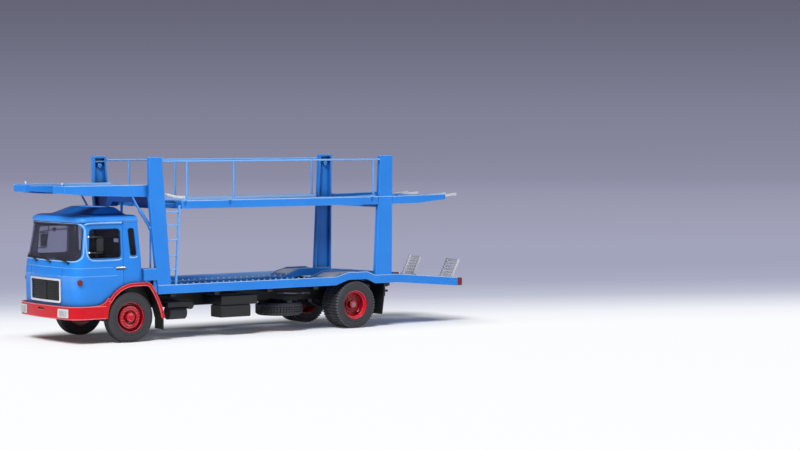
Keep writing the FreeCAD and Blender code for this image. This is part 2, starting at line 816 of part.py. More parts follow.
def front_bumper():
    """Bumper that wraps round the cab's foot and runs into an arch over each front wheel."""
    arch_toe = arch_centre_x + arch_radius
    ring = bumper_body(0, arch_toe + 0.2).cut(bumper_body(bumper_wall, arch_toe - 5))
    lamp_hole = headlamp_opening()
    lamp_zone = bumper_body(-1, arch_toe).cut(bumper_body(1.2, arch_toe - 5))
    ring = ring.cut(lamp_hole.common(lamp_zone)).cut(mirrored(lamp_hole).common(lamp_zone))
    slot = box(30, 40, -3.2, 3.2, bumper_slot_bottom, bumper_slot_top)
    ring = ring.cut(slot.common(bumper_body(-1, arch_toe).cut(bumper_body(0.8, arch_toe - 5))))
    arches = []
    for side in (1, -1):
        wall = side * (cab_levels[1][3] + 0.02)
        band = arch_side(arch_band, wall, side * bumper_half).cut(arch_side(0, wall, side * bumper_half))
        band = band.cut(box(arch_centre_x - 40, 60, wall, side * bumper_half, 0, arch_foot_z + 0.02))
        arches.append(band.cut(box(arch_toe - 4, 60, wall, side * bumper_half, 0, bumper_bottom)))
        arches.append(side_plate(bumper_flare, wall, side * bumper_half))
    return fuse([ring] + arches)


def wheelhouse():
    """Inner lining of a front wheel arch, from the bumper's toe over the wheel to the rear foot."""
    outer_y = cab_levels[1][3]
    lining = arch_side(arch_liner, arch_inner_y, outer_y).cut(arch_side(0, arch_inner_y, outer_y))
    lining = lining.cut(box(0, 60, 0, 60, 0, cab_levels[0][0]))
    lining = lining.cut(box(-60, 60, 0, 60, 0, arch_foot_z + 0.02))
    inner_side = arch_side(arch_liner, arch_inner_y - arch_inner_wall, arch_inner_y)
    return fuse([lining, inner_side.cut(box(-60, 60, 0, 60, 0, lining_foot))])


def headlamp():
    lamp = bumper_body(-headlamp_proud, 10).cut(bumper_body(1.2, 5)).common(headlamp_opening())
    return lamp


def corner_lamp():
    """Round lamp on the cab's front corner, its back shaped to the wall."""
    turn = math.radians(corner_lamp_turn)
    way = V(math.cos(turn), math.sin(turn), 0)
    middle_x = cab_levels[1][2] - cab_crown - cab_corner
    middle_y = cab_levels[1][3] - cab_corner
    start = V(middle_x, middle_y, corner_lamp_height) + way * (cab_corner - 1.5)
    lamp = Part.makeCylinder(corner_lamp_radius, 2.3, start, way)
    return lamp.cut(cab_body(0, cab_levels))


pieces["front_bumper"] = front_bumper()
pieces["wheelhouses"] = pair(wheelhouse())
pieces["headlamps"] = pair(headlamp())


def mirror():
    """Flat mirror on two thin arms from the windscreen pillar."""
    solids = [box(mirror_rear, mirror_front, mirror_inner, mirror_outer, mirror_bottom, mirror_top)]
    middle = (mirror_inner + mirror_outer) / 2
    for z in (mirror_bottom - mirror_arm_gap, mirror_top + mirror_arm_gap):
        tip = mirror_rear + mirror_arm_radius
        solids.append(rod((mirror_arm_front, cab_half - 1.4, z), (mirror_front, middle, z), mirror_arm_radius))
        solids.append(rod((mirror_front, middle, z), (tip, middle, z), mirror_arm_radius))
    post_x = (mirror_rear + mirror_front) / 2
    solids.append(rod((post_x, middle, mirror_bottom - mirror_arm_gap), (post_x, middle, mirror_top + mirror_arm_gap),
                      mirror_arm_radius - 0.05))
    return fuse(solids).cut(cab_body(0, cab_levels))


pieces["mirrors"] = pair(mirror())


# Posts and what stands by them

def post(fore, aft):
    """Channel post, open towards the middle, with a closed cap and a rope pulley in it."""
    outline = fore + aft[::-1]
    inner_y = half_width - post_depth
    solid = side_plate(outline, inner_y, half_width)
    low = fore[0][1] + post_cap
    high = fore[-1][1] - post_cap
    bends = [z for x, z in front_post_fore[2:-1]]
    pocket = [(x_on(fore, z) - post_wall, z) for z in [low] + bends + [high]]
    pocket += [(x_on(aft, z) + post_wall, z) for z in [high] + bends[::-1] + [low]]
    solid = solid.cut(side_plate(pocket, inner_y - 1, half_width - post_wall))
    middle = (x_on(fore, pulley_height) + x_on(aft, pulley_height)) / 2
    pulley = rod((middle, inner_y + 0.3, pulley_height), (middle, half_width - post_wall + 0.1, pulley_height),
                 pulley_radius)
    bar = box(x_on(fore, pulley_bar_bottom) - post_wall + 0.1, x_on(aft, pulley_bar_bottom) + post_wall - 0.1,
              inner_y + 0.2, half_width - post_wall + 0.1, pulley_bar_bottom, pulley_bar_bottom + pulley_bar_height)
    return fuse([solid, pulley, bar])


def post_box():
    """Box at the foot of a front post, its bracket below and the lift rod that leaves its top."""
    def fore_x(z):
        return x_on(front_post_fore, z)
    outline = [(post_box_front, post_box_bottom), (post_box_front, post_box_top),
               (fore_x(post_box_top), post_box_top), (fore_x(post_box_bottom), post_box_bottom)]
    body = side_plate(outline, half_width - post_box_depth, half_width)
    lift = rod((lift_rod_x, ram_y, post_box_top - 0.5), (lift_rod_x, ram_y, lift_rod_top), lift_rod_radius)
    bracket = box(post_bracket_front, low_front, post_bracket_inner, post_bracket_outer,
                  post_bracket_bottom, post_box_bottom + 0.1)
    bracket = bracket.cut(arch_side(arch_band + 0.2, post_bracket_inner, half_width))
    return fuse([body, lift, bracket.cut(pieces["front_post_left"])])


def deck_ram():
    """Stay from a front post up to the deck over the cab: a barrel, then its thinner rod."""
    foot = (ram_foot[0], ram_y, ram_foot[1])
    joint = (ram_joint[0], ram_y, ram_joint[1])
    head = (ram_head[0], ram_y, ram_head[1])
    barrel = rod(foot, joint, ram_barrel_radius)
    stem = rod(joint, head, ram_rod_radius)
    lug = rod((foot[0], ram_y - 1.0, foot[2]), (foot[0], half_width - post_wall - 0.3, foot[2]), 1.0)
    ram = fuse([barrel, stem, lug])
    ram = ram.cut(pieces["front_post_left"]).cut(pieces["post_boxes"])
    return ram.cut(box(-20, 40, 20, 40, front_beam_bottom(ram_head[0]), 90))


def front_beam_bottom(x):
    """Height of the underside of the beam over the cab."""
    for (x0, z0), (x1, z1) in zip(front_beam_under, front_beam_under[1:]):
        if x <= x1:
            return z0 + (z1 - z0) * (x - x0) / (x1 - x0)
    return front_beam_under[-1][1]


both_sides("front_post", post(front_post_fore, front_post_aft))
both_sides("rear_post", post(rear_post_fore, rear_post_aft))
pieces["post_boxes"] = pair(post_box())
pieces["deck_rams"] = pair(deck_ram())


# Decks

def track(beams, floor, lip, inner, outer, gaps):
    """A wheel track: outer beams, a floor between them and an inner lip, in one casting."""
    beam_inner = outer - beam_wall
    solids = [side_plate(outline, beam_inner, outer) for outline in beams]
    solids.append(side_plate(floor, inner, beam_inner))
    solids.append(side_plate(lip, inner, inner + lip_wall))
    whole = fuse(solids)
    for x0, x1 in gaps:
        whole = whole.cut(box(x0, x1, half_width - post_depth - post_gap, half_width + 1, 20, post_top))
    return whole


def front_track():
    """Track over the cab, deeper towards the posts, with a block at its tip."""
    beam = [(tip_x, front_deck_top), (front_deck_end, front_deck_top),
            (front_deck_end, front_beam_under[0][1])] + front_beam_under
    floor = [(tip_x, front_floor_top), (front_deck_end, front_floor_top),
             (front_deck_end, front_floor_top - floor_plate), (tip_x, front_floor_top - floor_plate)]
    lip = [(tip_x, front_lip_top), (front_deck_end, front_lip_top), (front_deck_end, front_lip_bottom),
           (tip_x - 20, front_lip_bottom), (tip_x, front_lip_tip_bottom)]
    whole = track([beam], floor, lip, front_track_inner, front_track_outer, [])
    tip = box(tip_x - tip_block, tip_x, front_track_inner, front_track_outer, front_beam_under[-1][1],
              front_deck_top)
    return fuse([whole, tip])


def mid_track():
    """Track from the front posts to the rear posts, with a tail that tapers behind them."""
    rear_gap = (x_on(rear_post_fore, mid_deck_bottom) + post_gap, x_on(rear_post_aft, mid_deck_top) - post_gap)
    beam = [(mid_deck_front, mid_deck_top), (mid_deck_front, mid_deck_bottom), (tail_start, mid_deck_bottom),
            (tail_start - 14, mid_deck_bottom), (tail_start - 22, mid_deck_bottom + 0.8),
            (tail_end, tail_tip_bottom), (tail_end, tail_top), (tail_start, mid_deck_top)]
    floor = [(mid_deck_front, mid_floor_top), (mid_deck_front, mid_floor_top - floor_plate),
             (tail_start, mid_floor_top - floor_plate), (tail_end, tail_floor_top - floor_plate),
             (tail_end, tail_floor_top), (tail_start, mid_floor_top)]
    lip = [(mid_deck_front, mid_lip_top), (mid_deck_front, mid_deck_bottom), (tail_start, mid_deck_bottom),
           (tail_end, tail_tip_bottom), (tail_end, tail_floor_top + 0.8), (tail_start, mid_lip_top)]
    whole = track([beam], floor, lip, track_inner, half_width, [rear_gap])
    end = box(mid_deck_front - 1.2, mid_deck_front, track_inner, half_width, mid_deck_bottom, mid_deck_top)
    return fuse([whole, end])


def beaver(x, z):
    """A height of the lower deck, lowered along the sloping tail."""
    past = max(0.0, (beaver_start - x) / (beaver_start - beaver_end))
    return (x, z - beaver_drop * past)


def low_track():
    """Lower track: it steps up over the rear wheels and slopes down behind them."""
    beam_end = beaver_end + 1.8
    beam = [
        (low_front, low_bottom), (hump_start, low_bottom), (hump_crest_front, hump_under),
        (hump_crest_rear, hump_under), (hump_end, low_bottom), beaver(beaver_start, low_bottom),
        beaver(beam_end, low_bottom), beaver(beam_end, low_top), beaver(beaver_start, low_top),
        (hump_end, low_top), (hump_crest_rear, low_top + hump_rise), (hump_crest_front, low_top + hump_rise),
        (hump_start, low_top), (low_front, low_top),
    ]
    top = [(low_front, low_floor_top), (hump_floor_front, low_floor_top),
           (hump_crest_front + 4, hump_floor_top), (hump_crest_rear - 2, hump_floor_top),
           (hump_floor_rear, low_floor_top), beaver(beaver_start, low_floor_top),
           beaver(beaver_end, low_floor_top)]
    under = [(x, z - floor_plate) for x, z in reversed(top)]
    lip_top = [(x, z + low_lip_top - low_floor_top) for x, z in top[:-1]]
    lip_top.append(beaver(low_lip_end, low_lip_top))
    lip_under = [(low_front, low_bottom), (hump_floor_front, low_bottom), (hump_crest_front + 4, hump_under),
                 (hump_crest_rear - 2, hump_under), (hump_floor_rear, low_bottom),
                 beaver(beaver_start, low_bottom), beaver(low_lip_end, low_bottom)]
    return track([beam], top + under, lip_top + lip_under[::-1], track_inner, half_width, [])


both_sides("front_deck", front_track())
both_sides("upper_deck", mid_track())
both_sides("lower_deck", low_track())


def front_deck_beams():
    """The deep cross-beam between the front posts and the light one near the tip."""
    reach, beam_inner, under = front_track_outer, front_track_outer - beam_wall, front_beam_under[0][1]
    outline = [(-beam_inner, front_lip_bottom), (beam_inner, front_lip_bottom), (beam_inner, under), (reach, under),
               (reach, front_cross_side), (13.0, front_cross_side), (11.0, front_cross_middle),
               (-11.0, front_cross_middle), (-13.0, front_cross_side), (-reach, front_cross_side),
               (-reach, under), (-beam_inner, under)]
    deep = cross_plate(outline, front_cross_x, front_cross_x - front_cross_length)
    light = box(tip_cross_x, tip_cross_x - 3, -front_track_inner, front_track_inner, front_lip_bottom + 0.6,
                front_floor_top)
    return Part.makeCompound([deep, light])


def mid_lip_bottom(x):
    """Height of the underside of the tail's inner lip."""
    past = max(0.0, (tail_start - x) / (tail_start - tail_end))
    return mid_deck_bottom + past * (tail_tip_bottom - mid_deck_bottom)


def upper_deck_beams():
    """Crossbars between the upper tracks, the carrier at the rear posts and the front link arms."""
    solids = []
    for x in mid_crossbars:
        z = mid_lip_bottom(x - mid_crossbar_length) + 0.15
        solids.append(box(x, x - mid_crossbar_length, -track_inner, track_inner, z, z + mid_crossbar_height))
    reach = half_width - post_depth - post_gap
    carrier = box(mid_crossbars[3], mid_crossbars[3] - mid_crossbar_length, -reach, reach,
                  mid_deck_bottom - 1.8, mid_deck_bottom)
    link = fuse([solids[3], carrier, box(mid_crossbars[3], mid_crossbars[3] - mid_crossbar_length,
                                         -track_inner, track_inner, mid_deck_bottom - 0.1,
                                         mid_deck_bottom + 0.3)])
    solids[3] = link
    for side in (1, -1):
        solids.append(box(mid_deck_front, front_cross_x - front_cross_length, side * link_arm_inner,
                          side * link_arm_outer, front_cross_side + 0.2, front_cross_side + 2.2))
    for side in (1, -1):
        solids.append(high_ears(side))
    return Part.makeCompound(solids)


def high_ears(side):
    """The ears at the upper tail's end, which hold a flap's pins."""
    ears = []
    for y0, y1 in ear_spans():
        ears.append(box(tail_end, high_flap_x, side * y0, side * y1, high_flap_z - 1.1, high_flap_z + 1.1))
        ears.append(rod((high_flap_x, side * y0, high_flap_z), (high_flap_x, side * y1, high_flap_z), 1.1))
    bar = box(tail_end, tail_end - 0.4, side * (flap_inner - 1), side * (flap_outer + 1),
              high_flap_z - 1.1, high_flap_z - 0.4)
    bore = rod((high_flap_x, 0, high_flap_z), (high_flap_x, side * half_width, high_flap_z),
               flap_pin_radius + pin_clearance)
    return fuse(ears + [bar]).cut(bore)


def low_ears(side):
    """The ears on the lower deck's sloping tail, which hold a flap's pins."""
    ears = []
    fore, aft = low_flap_x + 1.1, max(low_flap_x - 1.1, beaver_end)
    for y0, y1 in ear_spans():
        outline = [beaver(aft, low_floor_top), beaver(fore, low_floor_top), (fore, low_flap_z), (aft, low_flap_z)]
        ears.append(side_plate(outline, side * y0, side * y1))
        ears.append(rod((low_flap_x, side * y0, low_flap_z), (low_flap_x, side * y1, low_flap_z), 1.1))
    fore_end = low_flap_x + 3.4
    near_end = low_flap_x + 1.05
    foot = side_plate([beaver(near_end, low_floor_top), beaver(fore_end, low_floor_top),
                       beaver(fore_end, low_floor_top + 0.6), beaver(near_end, low_floor_top + 0.6)],
                      side * ear_spans()[0][0], side * ear_spans()[1][1])
    bore = rod((low_flap_x, 0, low_flap_z), (low_flap_x, side * half_width, low_flap_z),
               flap_pin_radius + pin_clearance)
    return fuse(ears + [foot]).cut(bore)


def ear_spans():
    """Where a flap's two ears lie across the truck, inner and outer."""
    return ((flap_inner - flap_gap - flap_lug, flap_inner - flap_gap),
            (flap_outer + flap_gap, flap_outer + flap_gap + flap_lug))


def lower_deck_beams():
    """Crossbars between the lower tracks and the ears for the loading flaps."""
    solids = []
    for x in low_crossbars:
        solids.append(box(x, x - low_crossbar_length, -track_inner, track_inner, low_bottom, low_floor_top))
    end = side_plate([beaver(beaver_end, low_bottom), beaver(beaver_end + 4, low_bottom),
                      beaver(beaver_end + 4, low_floor_top), beaver(beaver_end, low_floor_top)],
                     -track_inner, track_inner)
    solids.append(end)
    for side in (1, -1):
        solids.append(low_ears(side))
    return Part.makeCompound(solids)


def hump_plate():
    """Pressed tread plate on a track's hump over the rear wheels."""
    return box(hump_crest_front + 4 - hump_plate_margin, hump_crest_rear - 2 + hump_plate_margin,
               track_inner + lip_wall + hump_plate_margin, half_width - beam_wall - hump_plate_margin,
               hump_floor_top, hump_floor_top + hump_plate_thickness)


def loading_flap(x, z, length, lean):
    """Slotted plate with two side rims, hinged on a pin at its foot and leaning back by an angle."""
    half = flap_thickness / 2
    knuckle = rod((0, flap_inner, 0), (0, flap_outer, 0), flap_pin_radius + 0.35)
    pin = rod((0, flap_inner - flap_gap - flap_lug, 0), (0, flap_outer + flap_gap + flap_lug, 0), flap_pin_radius)
    plate = box(-half, half, flap_inner, flap_outer, 0, length)
    rims = [box(-half, half + flap_rim_proud, y0, y1, 0, length)
            for y0, y1 in ((flap_inner, flap_inner + flap_rim), (flap_outer - flap_rim, flap_outer))]
    whole = fuse([plate, knuckle, pin] + rims)
    first = 2.0
    pitch = (length - first - flap_rim) / flap_slots
    middle = (flap_inner + flap_outer) / 2
    for number in range(flap_slots):
        slot_z = first + (number + 0.5) * pitch
        for y0, y1 in ((flap_inner + flap_rim + 0.6, middle - 0.5), (middle + 0.5, flap_outer - flap_rim - 0.6)):
            whole = whole.cut(box(-2, 2, y0, y1, slot_z - flap_slot_height / 2, slot_z + flap_slot_height / 2))
    whole.rotate(V(0, 0, 0), V(0, 1, 0), -lean)
    whole.translate(V(x, 0, z))
    return whole


def tail_lamp():
    x = beaver_end + 1.8
    low = beaver(x, low_bottom)[1]
    high = beaver(x, low_top)[1]
    lamp = box(x, x - lamp_length, half_width - beam_wall, half_width, low + 0.1, high - 0.2)
    return round_along(lamp, V(0, 1, 0), 0.5)


pieces["front_deck_beams"] = front_deck_beams()
pieces["upper_deck_beams"] = upper_deck_beams()
pieces["lower_deck_beams"] = lower_deck_beams()
pieces["hump_plates"] = pair(hump_plate())
both_sides("low_flap", loading_flap(low_flap_x, low_flap_z, low_flap_length, low_flap_lean))
both_sides("high_flap", loading_flap(high_flap_x, high_flap_z, high_flap_length, high_flap_lean))
red_lamps = [tail_lamp(), mirrored(tail_lamp()), corner_lamp(), mirrored(corner_lamp())]
pieces["red_lamps"] = Part.makeCompound(red_lamps)


# Ladder, handrails and chain

def ladder():
    """Ladder on the left behind the front post: one stile, its rungs let into the post."""
    (top_x, top_z), (foot_x, foot_z) = ladder_top, ladder_foot
    y0, y1 = ladder_y - stile_half, ladder_y + stile_half
    stile = side_plate([(foot_x - stile_half, foot_z), (foot_x + stile_half, foot_z),
                        (top_x + stile_half, top_z), (top_x - stile_half, top_z)], y0, y1)
    rungs = []
    for z in rung_heights:
        x = foot_x + (top_x - foot_x) * (z - foot_z) / (top_z - foot_z)
        rungs.append(rod((x, ladder_y, z), (x_on(front_post_aft, z) - 0.05, ladder_y, z), rung_radius))
    return fuse([stile] + rungs)


def handrail():
    """Rail from post to post on stanchions that stand on the upper deck's beam."""
    start = (x_on(front_post_aft, rail_height) - 0.05, rail_y, rail_height)
    end = (x_on(rear_post_fore, rail_height) + 0.05, rail_y, rail_height)
    bars = [rod(start, end, rail_radius)]
    for x in stanchions:
        bars.append(rod((x, rail_y, mid_deck_top), (x, rail_y, rail_height), rail_radius))
        bars.append(rod((x, rail_y, mid_deck_top), (x, rail_y, mid_deck_top + 0.6), rail_radius * 1.3))
    return fuse(bars)


def chain_link(centre, along, across):
    """One long link: an eight-sided ring of square wire."""
    length, width, cut = chain_link_half, chain_link_width / 2, chain_link_width / 5

    def ring(reach, side, corner):
        outline = [(reach, side - corner), (reach - corner, side), (corner - reach, side), (-reach, side - corner),
                   (-reach, corner - side), (corner - reach, -side), (reach - corner, -side), (reach, corner - side)]
        points = [centre + along * u + across * v for u, v in outline]
        return Part.Face(closed_wire(points))

    up = along.cross(across)
    face = ring(length, width, cut).cut(ring(length - chain_wire, width - chain_wire, cut / 2))
    link = face.extrude(up * chain_wire)
    link.translate(up * (-chain_wire / 2))
    return link


def guard_chain():
    """Chain of long links across the gap at the ladder's head, hanging a little."""
    fore, low, aft = (V(x, chain_y, z) for x, z in (chain_front, chain_low, chain_rear))
    line = Part.Arc(fore, low, aft).toShape()
    places = line.discretize(Number=chain_links + 2)
    links = []
    for number in range(1, chain_links + 1):
        way = (places[number + 1] - places[number - 1]).normalize()
        level = V(0, 1, 0)
        links.append(chain_link(places[number], way, level if number % 2 else way.cross(level)))
    return Part.makeCompound(links)


pieces["ladder"] = ladder()
both_sides("handrail", handrail())
pieces["guard_chain"] = guard_chain()


# What hangs under the decks

def mudflaps():
    foot_x = arch_centre_x - arch_radius - 0.2
    front = box(foot_x - 0.1, foot_x - 0.1 - mudflap_thickness, arch_inner_y, bumper_half,
                front_flap_bottom, arch_foot_z)
    inner, outer = twin_y - tyre_width, half_width - 0.3
    rear = cross_plate([(inner, low_bottom), (outer, low_bottom), (outer, low_bottom - 4.0),
                        (outer - rear_flap_narrowing, rear_flap_bottom), (inner, rear_flap_bottom)],
                       rear_flap_x, rear_flap_x - mudflap_thickness)
    return Part.makeCompound([front, mirrored(front), rear, mirrored(rear)])


def fuel_tank():
    tank = box(fuel_front, fuel_front - fuel_length, fuel_inner, fuel_outer, fuel_bottom, fuel_top)
    return round_along(tank, V(1, 0, 0), 0.8)


def side_locker():
    """Flat locker above the fuel tank, carried by the rail."""
    return box(locker_front, locker_front - locker_length, rail_outer, locker_outer, fuel_top, rail_top - 1.2)


def air_tank():
    """Round air tank along the rail, under its bracket, with a drier behind it."""
    rear_x = air_tank_front - air_tank_length
    tank = rod((air_tank_front, air_tank_y, air_tank_z), (rear_x, air_tank_y, air_tank_z), air_tank_radius)
    bracket = box(air_tank_front + 0.8, rear_x - 1.5, rail_outer, air_tank_y + 2.2,
                  air_tank_z + air_tank_radius - 0.5, air_bracket_top)
    drier_x = rear_x - 3.0
    drier = rod((drier_x, rail_outer, drier_z), (drier_x, air_tank_y + 1.5, drier_z), drier_radius)
    return fuse([tank, bracket, drier])


def laid_flat(shape):
    """Turn a wheel piece so that it lies flat in the spare wheel's place."""
    shape = shape.copy()
    shape.translate(V(0, 0, -tyre_radius))
    shape.rotate(V(0, 0, 0), V(1, 0, 0), -90)
    shape.translate(V(spare_x, spare_y, spare_bottom + tyre_width / 2))
    return shape


def spare_carrier():
    """Bracket from the rail that the spare wheel hangs from."""
    top = spare_bottom + tyre_width
    plate = box(spare_x - spare_carrier_width / 2, spare_x + spare_carrier_width / 2, rail_outer,
                spare_y + rim_radius + 2, top, top + 1.3)
    collar = rod((spare_x, spare_y, top), (spare_x, spare_y, top - tyre_bulge), spare_collar_radius)
    stud = rod((spare_x, spare_y, top), (spare_x, spare_y, top - spare_stud), pin_radius - pin_clearance)
    return fuse([plate, collar, stud])


def tow_coupling():
    """Drawbar coupling: a plate across the rails' ends and a jaw bored for the drawbar's pin."""
    plate = box(coupling_front, coupling_front - 1.2, -rail_outer, rail_outer, coupling_z - 3.6, coupling_z + 3.4)
    jaw_rear = coupling_front - coupling_length
    half = coupling_gap / 2 + coupling_plate
    root = box(coupling_front - 1.2, coupling_front - 3.2, -coupling_half, coupling_half,
               coupling_z - half, coupling_z + half)
    jaws = []
    for z0 in (coupling_z - half, coupling_z + coupling_gap / 2):
        jaw = box(coupling_front - 3.2, jaw_rear, -coupling_half, coupling_half, z0, z0 + coupling_plate)
        jaws.append(round_along(jaw, V(0, 0, 1), 1.8, lambda middle: middle.x < jaw_rear + 0.1))
    pin_x = jaw_rear + 2.4
    bore = rod((pin_x, 0, coupling_z - 5), (pin_x, 0, coupling_z + 5), coupling_bore)
    return fuse([plate, root] + jaws).cut(bore)


pieces["mudflaps"] = mudflaps()
pieces["fuel_tank"] = fuel_tank()
pieces["side_lockers"] = pair(side_locker())
pieces["air_tank"] = air_tank()
pieces["spare_tyre"] = laid_flat(tyre(0, 0, 1))
pieces["spare_rim"] = laid_flat(front_rim(0, 1))
pieces["tow_coupling"] = tow_coupling()
pieces["chassis_frame"] = fuse([chassis_frame(), spare_carrier()])


# Place the origin under the middle of the model and write the pieces

whole_box = Part.makeCompound(list(pieces.values())).optimalBoundingBox(False)
origin_shift = -(whole_box.XMin + whole_box.XMax) / 2
os.makedirs("parts", exist_ok=True)
for name, shape in pieces.items():
    placed = shape.copy()
    placed.translate(V(origin_shift, 0, 0))
    placed.exportStep(os.path.join("parts", name + ".step"))

print("front axle at x =", round(origin_shift, 3))
print("size", [round(v, 3) for v in (whole_box.XLength, whole_box.YLength, whole_box.ZLength)])
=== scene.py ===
# %% [markdown]
# # A 1:43 die-cast car transporter truck
# The object is a collector's model, 239 mm long. Its castings, wheels and hinges come from CAD and
# are loaded here as a fixed frame. This lesson gives them their finishes, rounds the edges of the
# castings, and adds what is too fine for the castings' drawing: tyre treads, wipers, handles,
# window seals, seams and the pattern on the decks.

import json
import math

import bmesh
import bpy
from mathutils import Matrix, Vector
from mathutils.bvhtree import BVHTree


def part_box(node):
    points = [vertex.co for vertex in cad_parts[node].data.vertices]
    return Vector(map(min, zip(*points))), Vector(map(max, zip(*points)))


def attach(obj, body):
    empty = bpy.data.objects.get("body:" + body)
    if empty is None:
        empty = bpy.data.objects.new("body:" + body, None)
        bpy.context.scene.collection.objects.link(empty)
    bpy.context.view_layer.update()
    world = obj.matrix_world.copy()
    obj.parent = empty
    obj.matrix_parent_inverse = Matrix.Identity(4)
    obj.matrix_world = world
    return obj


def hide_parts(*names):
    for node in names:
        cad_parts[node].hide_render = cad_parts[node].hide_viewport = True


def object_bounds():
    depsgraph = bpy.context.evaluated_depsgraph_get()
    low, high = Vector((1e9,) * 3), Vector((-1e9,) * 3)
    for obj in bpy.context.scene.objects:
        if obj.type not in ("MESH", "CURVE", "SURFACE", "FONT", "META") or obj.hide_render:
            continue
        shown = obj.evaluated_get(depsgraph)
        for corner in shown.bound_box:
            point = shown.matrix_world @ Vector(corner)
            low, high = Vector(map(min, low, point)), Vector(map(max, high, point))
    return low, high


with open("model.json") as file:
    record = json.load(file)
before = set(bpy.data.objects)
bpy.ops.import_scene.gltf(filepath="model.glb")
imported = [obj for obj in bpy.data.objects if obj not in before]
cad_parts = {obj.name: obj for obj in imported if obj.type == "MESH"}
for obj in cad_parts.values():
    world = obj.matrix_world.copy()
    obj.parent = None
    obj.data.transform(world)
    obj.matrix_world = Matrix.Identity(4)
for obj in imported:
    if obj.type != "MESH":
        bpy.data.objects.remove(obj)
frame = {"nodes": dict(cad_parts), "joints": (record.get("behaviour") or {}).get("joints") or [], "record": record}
cad_low, cad_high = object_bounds()
nodes = frame["nodes"]
MM = 0.001
print("CAD box in mm:", [round(side / MM, 1) for side in cad_high - cad_low])

# %% [markdown]
# The drawing's X = 0 is the front axle, because a truck is measured from it. The axle's place in
# the frame is the origin of the front wheels' joint, so every later place is worked out from there.

# %% Places from the front axle
joints = {joint["name"]: joint for joint in frame["joints"]}
AXLE_X = joints["front_axle_roll"]["pos_m"][0]
WHEEL_Z = joints["front_axle_roll"]["pos_m"][2] / MM
REAR_AXLE = (joints["rear_axle_roll"]["pos_m"][0] - AXLE_X) / MM


def at(x, y, z):
    """A point in the frame, from millimetres ahead of the front axle, to the left, and up."""
    return Vector((AXLE_X + x * MM, y * MM, z * MM))


def reach(node):
    """A node's lowest and highest corner, in millimetres from the front axle."""
    low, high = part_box(node)
    return [(Vector(corner) - at(0, 0, 0)) / MM for corner in (low, high)]


print("front axle at", round(AXLE_X / MM, 2), "mm, rear axle", round(REAR_AXLE, 2), "mm behind it")

# %% [markdown]
# The photograph was taken with a long lens from the front left, a little above the deck. A long
# lens keeps the near and far posts almost the same size. The values below were fitted to the
# wheels, posts and rails, so that the model fills the same part of the picture. The two angles are
# in radians, the lens and its sensor in millimetres. A camera and a lamp both look along their own
# -Z, so one function turns either of them.

# %% Camera
CAMERA_PLACE = at(525.644, 954.849, 101.740)
CAMERA_YAW = 4.0752
CAMERA_DOWN = 0.0427
CAMERA_LENS = 99.44
SENSOR_WIDE = 36.0


def show(name, data):
    """An object for some data, put in the scene."""
    thing = bpy.data.objects.new(name, data)
    bpy.context.collection.objects.link(thing)
    return thing


def point_at(thing, place, way):
    """Put a camera or a lamp at a place, looking a way."""
    thing.location = place
    thing.rotation_mode = "QUATERNION"
    thing.rotation_quaternion = way.to_track_quat("-Z", "Y")


look = Vector((math.cos(CAMERA_YAW) * math.cos(CAMERA_DOWN),
               math.sin(CAMERA_YAW) * math.cos(CAMERA_DOWN), -math.sin(CAMERA_DOWN)))
camera = show("photo_camera", bpy.data.cameras.new("photo_camera"))
camera.data.lens = CAMERA_LENS
camera.data.sensor_width = SENSOR_WIDE
point_at(camera, CAMERA_PLACE, look)
bpy.context.scene.camera = camera
bpy.context.scene.view_settings.view_transform = "Standard"
print("camera", round((CAMERA_PLACE - at(0, 0, 0)).length, 3), "m from the front axle")

# %% [markdown]
# Colours are noted as they look on a screen, in sRGB hex. Shaders count light linearly, so one
# function turns the hex value to linear numbers. Another adds a node with its settings and links,
# which keeps each finish short enough to read at a glance.

# %% Colour and node helpers


def srgb(hex_value):
    """Linear RGBA of an sRGB colour such as 2A7DE1."""
    channels = [int(hex_value[i:i + 2], 16) / 255 for i in (0, 2, 4)]
    linear = [c / 12.92 if c <= 0.04045 else ((c + 0.055) / 1.055) ** 2.4 for c in channels]
    return (*linear, 1.0)


def add(tree, kind, settings=None, links=None):
    """Add a node. Settings are properties, input values or a ramp's stops; links feed inputs."""
    node = tree.nodes.new("ShaderNode" + kind)
    for name, value in (settings or {}).items():
        if name == "stops":
            first, *between, last = value
            for stop, (place, tone) in zip(node.color_ramp.elements, (first, last)):
                stop.position, stop.color = place, srgb(tone)
            for place, tone in between:
                node.color_ramp.elements.new(place).color = srgb(tone)
        elif isinstance(name, str) and hasattr(node, name):
            setattr(node, name, value)
        else:
            node.inputs[name].default_value = value
    for name, source in (links or {}).items():
        tree.links.new(source, node.inputs[name])
    return node


def new_material(name):
    """An empty node material and its tree."""
    material = bpy.data.materials.new(name)
    material.use_nodes = True
    material.node_tree.nodes.clear()
    return material, material.node_tree


def object_place(tree):
    """Where a point lies on the object itself, in metres."""
    return add(tree, "TexCoord").outputs["Object"]


print("a middle grey, 808080, is", round(srgb("808080")[0], 3), "in linear light")

# %% [markdown]
# The model stands on a white table that runs into a grey backdrop. One curved sheet does both. A
# profile line is swept sideways, then the sheet is turned to face the camera.

# %% Floor and backdrop
BACKDROP_AWAY = 3.2
BACKDROP_HIGH = 1.6
BACKDROP_BEND = 0.5
BEND_STEPS = 12
FLOOR_NEAR = -2.5
FLOOR_SIDE = 5.0

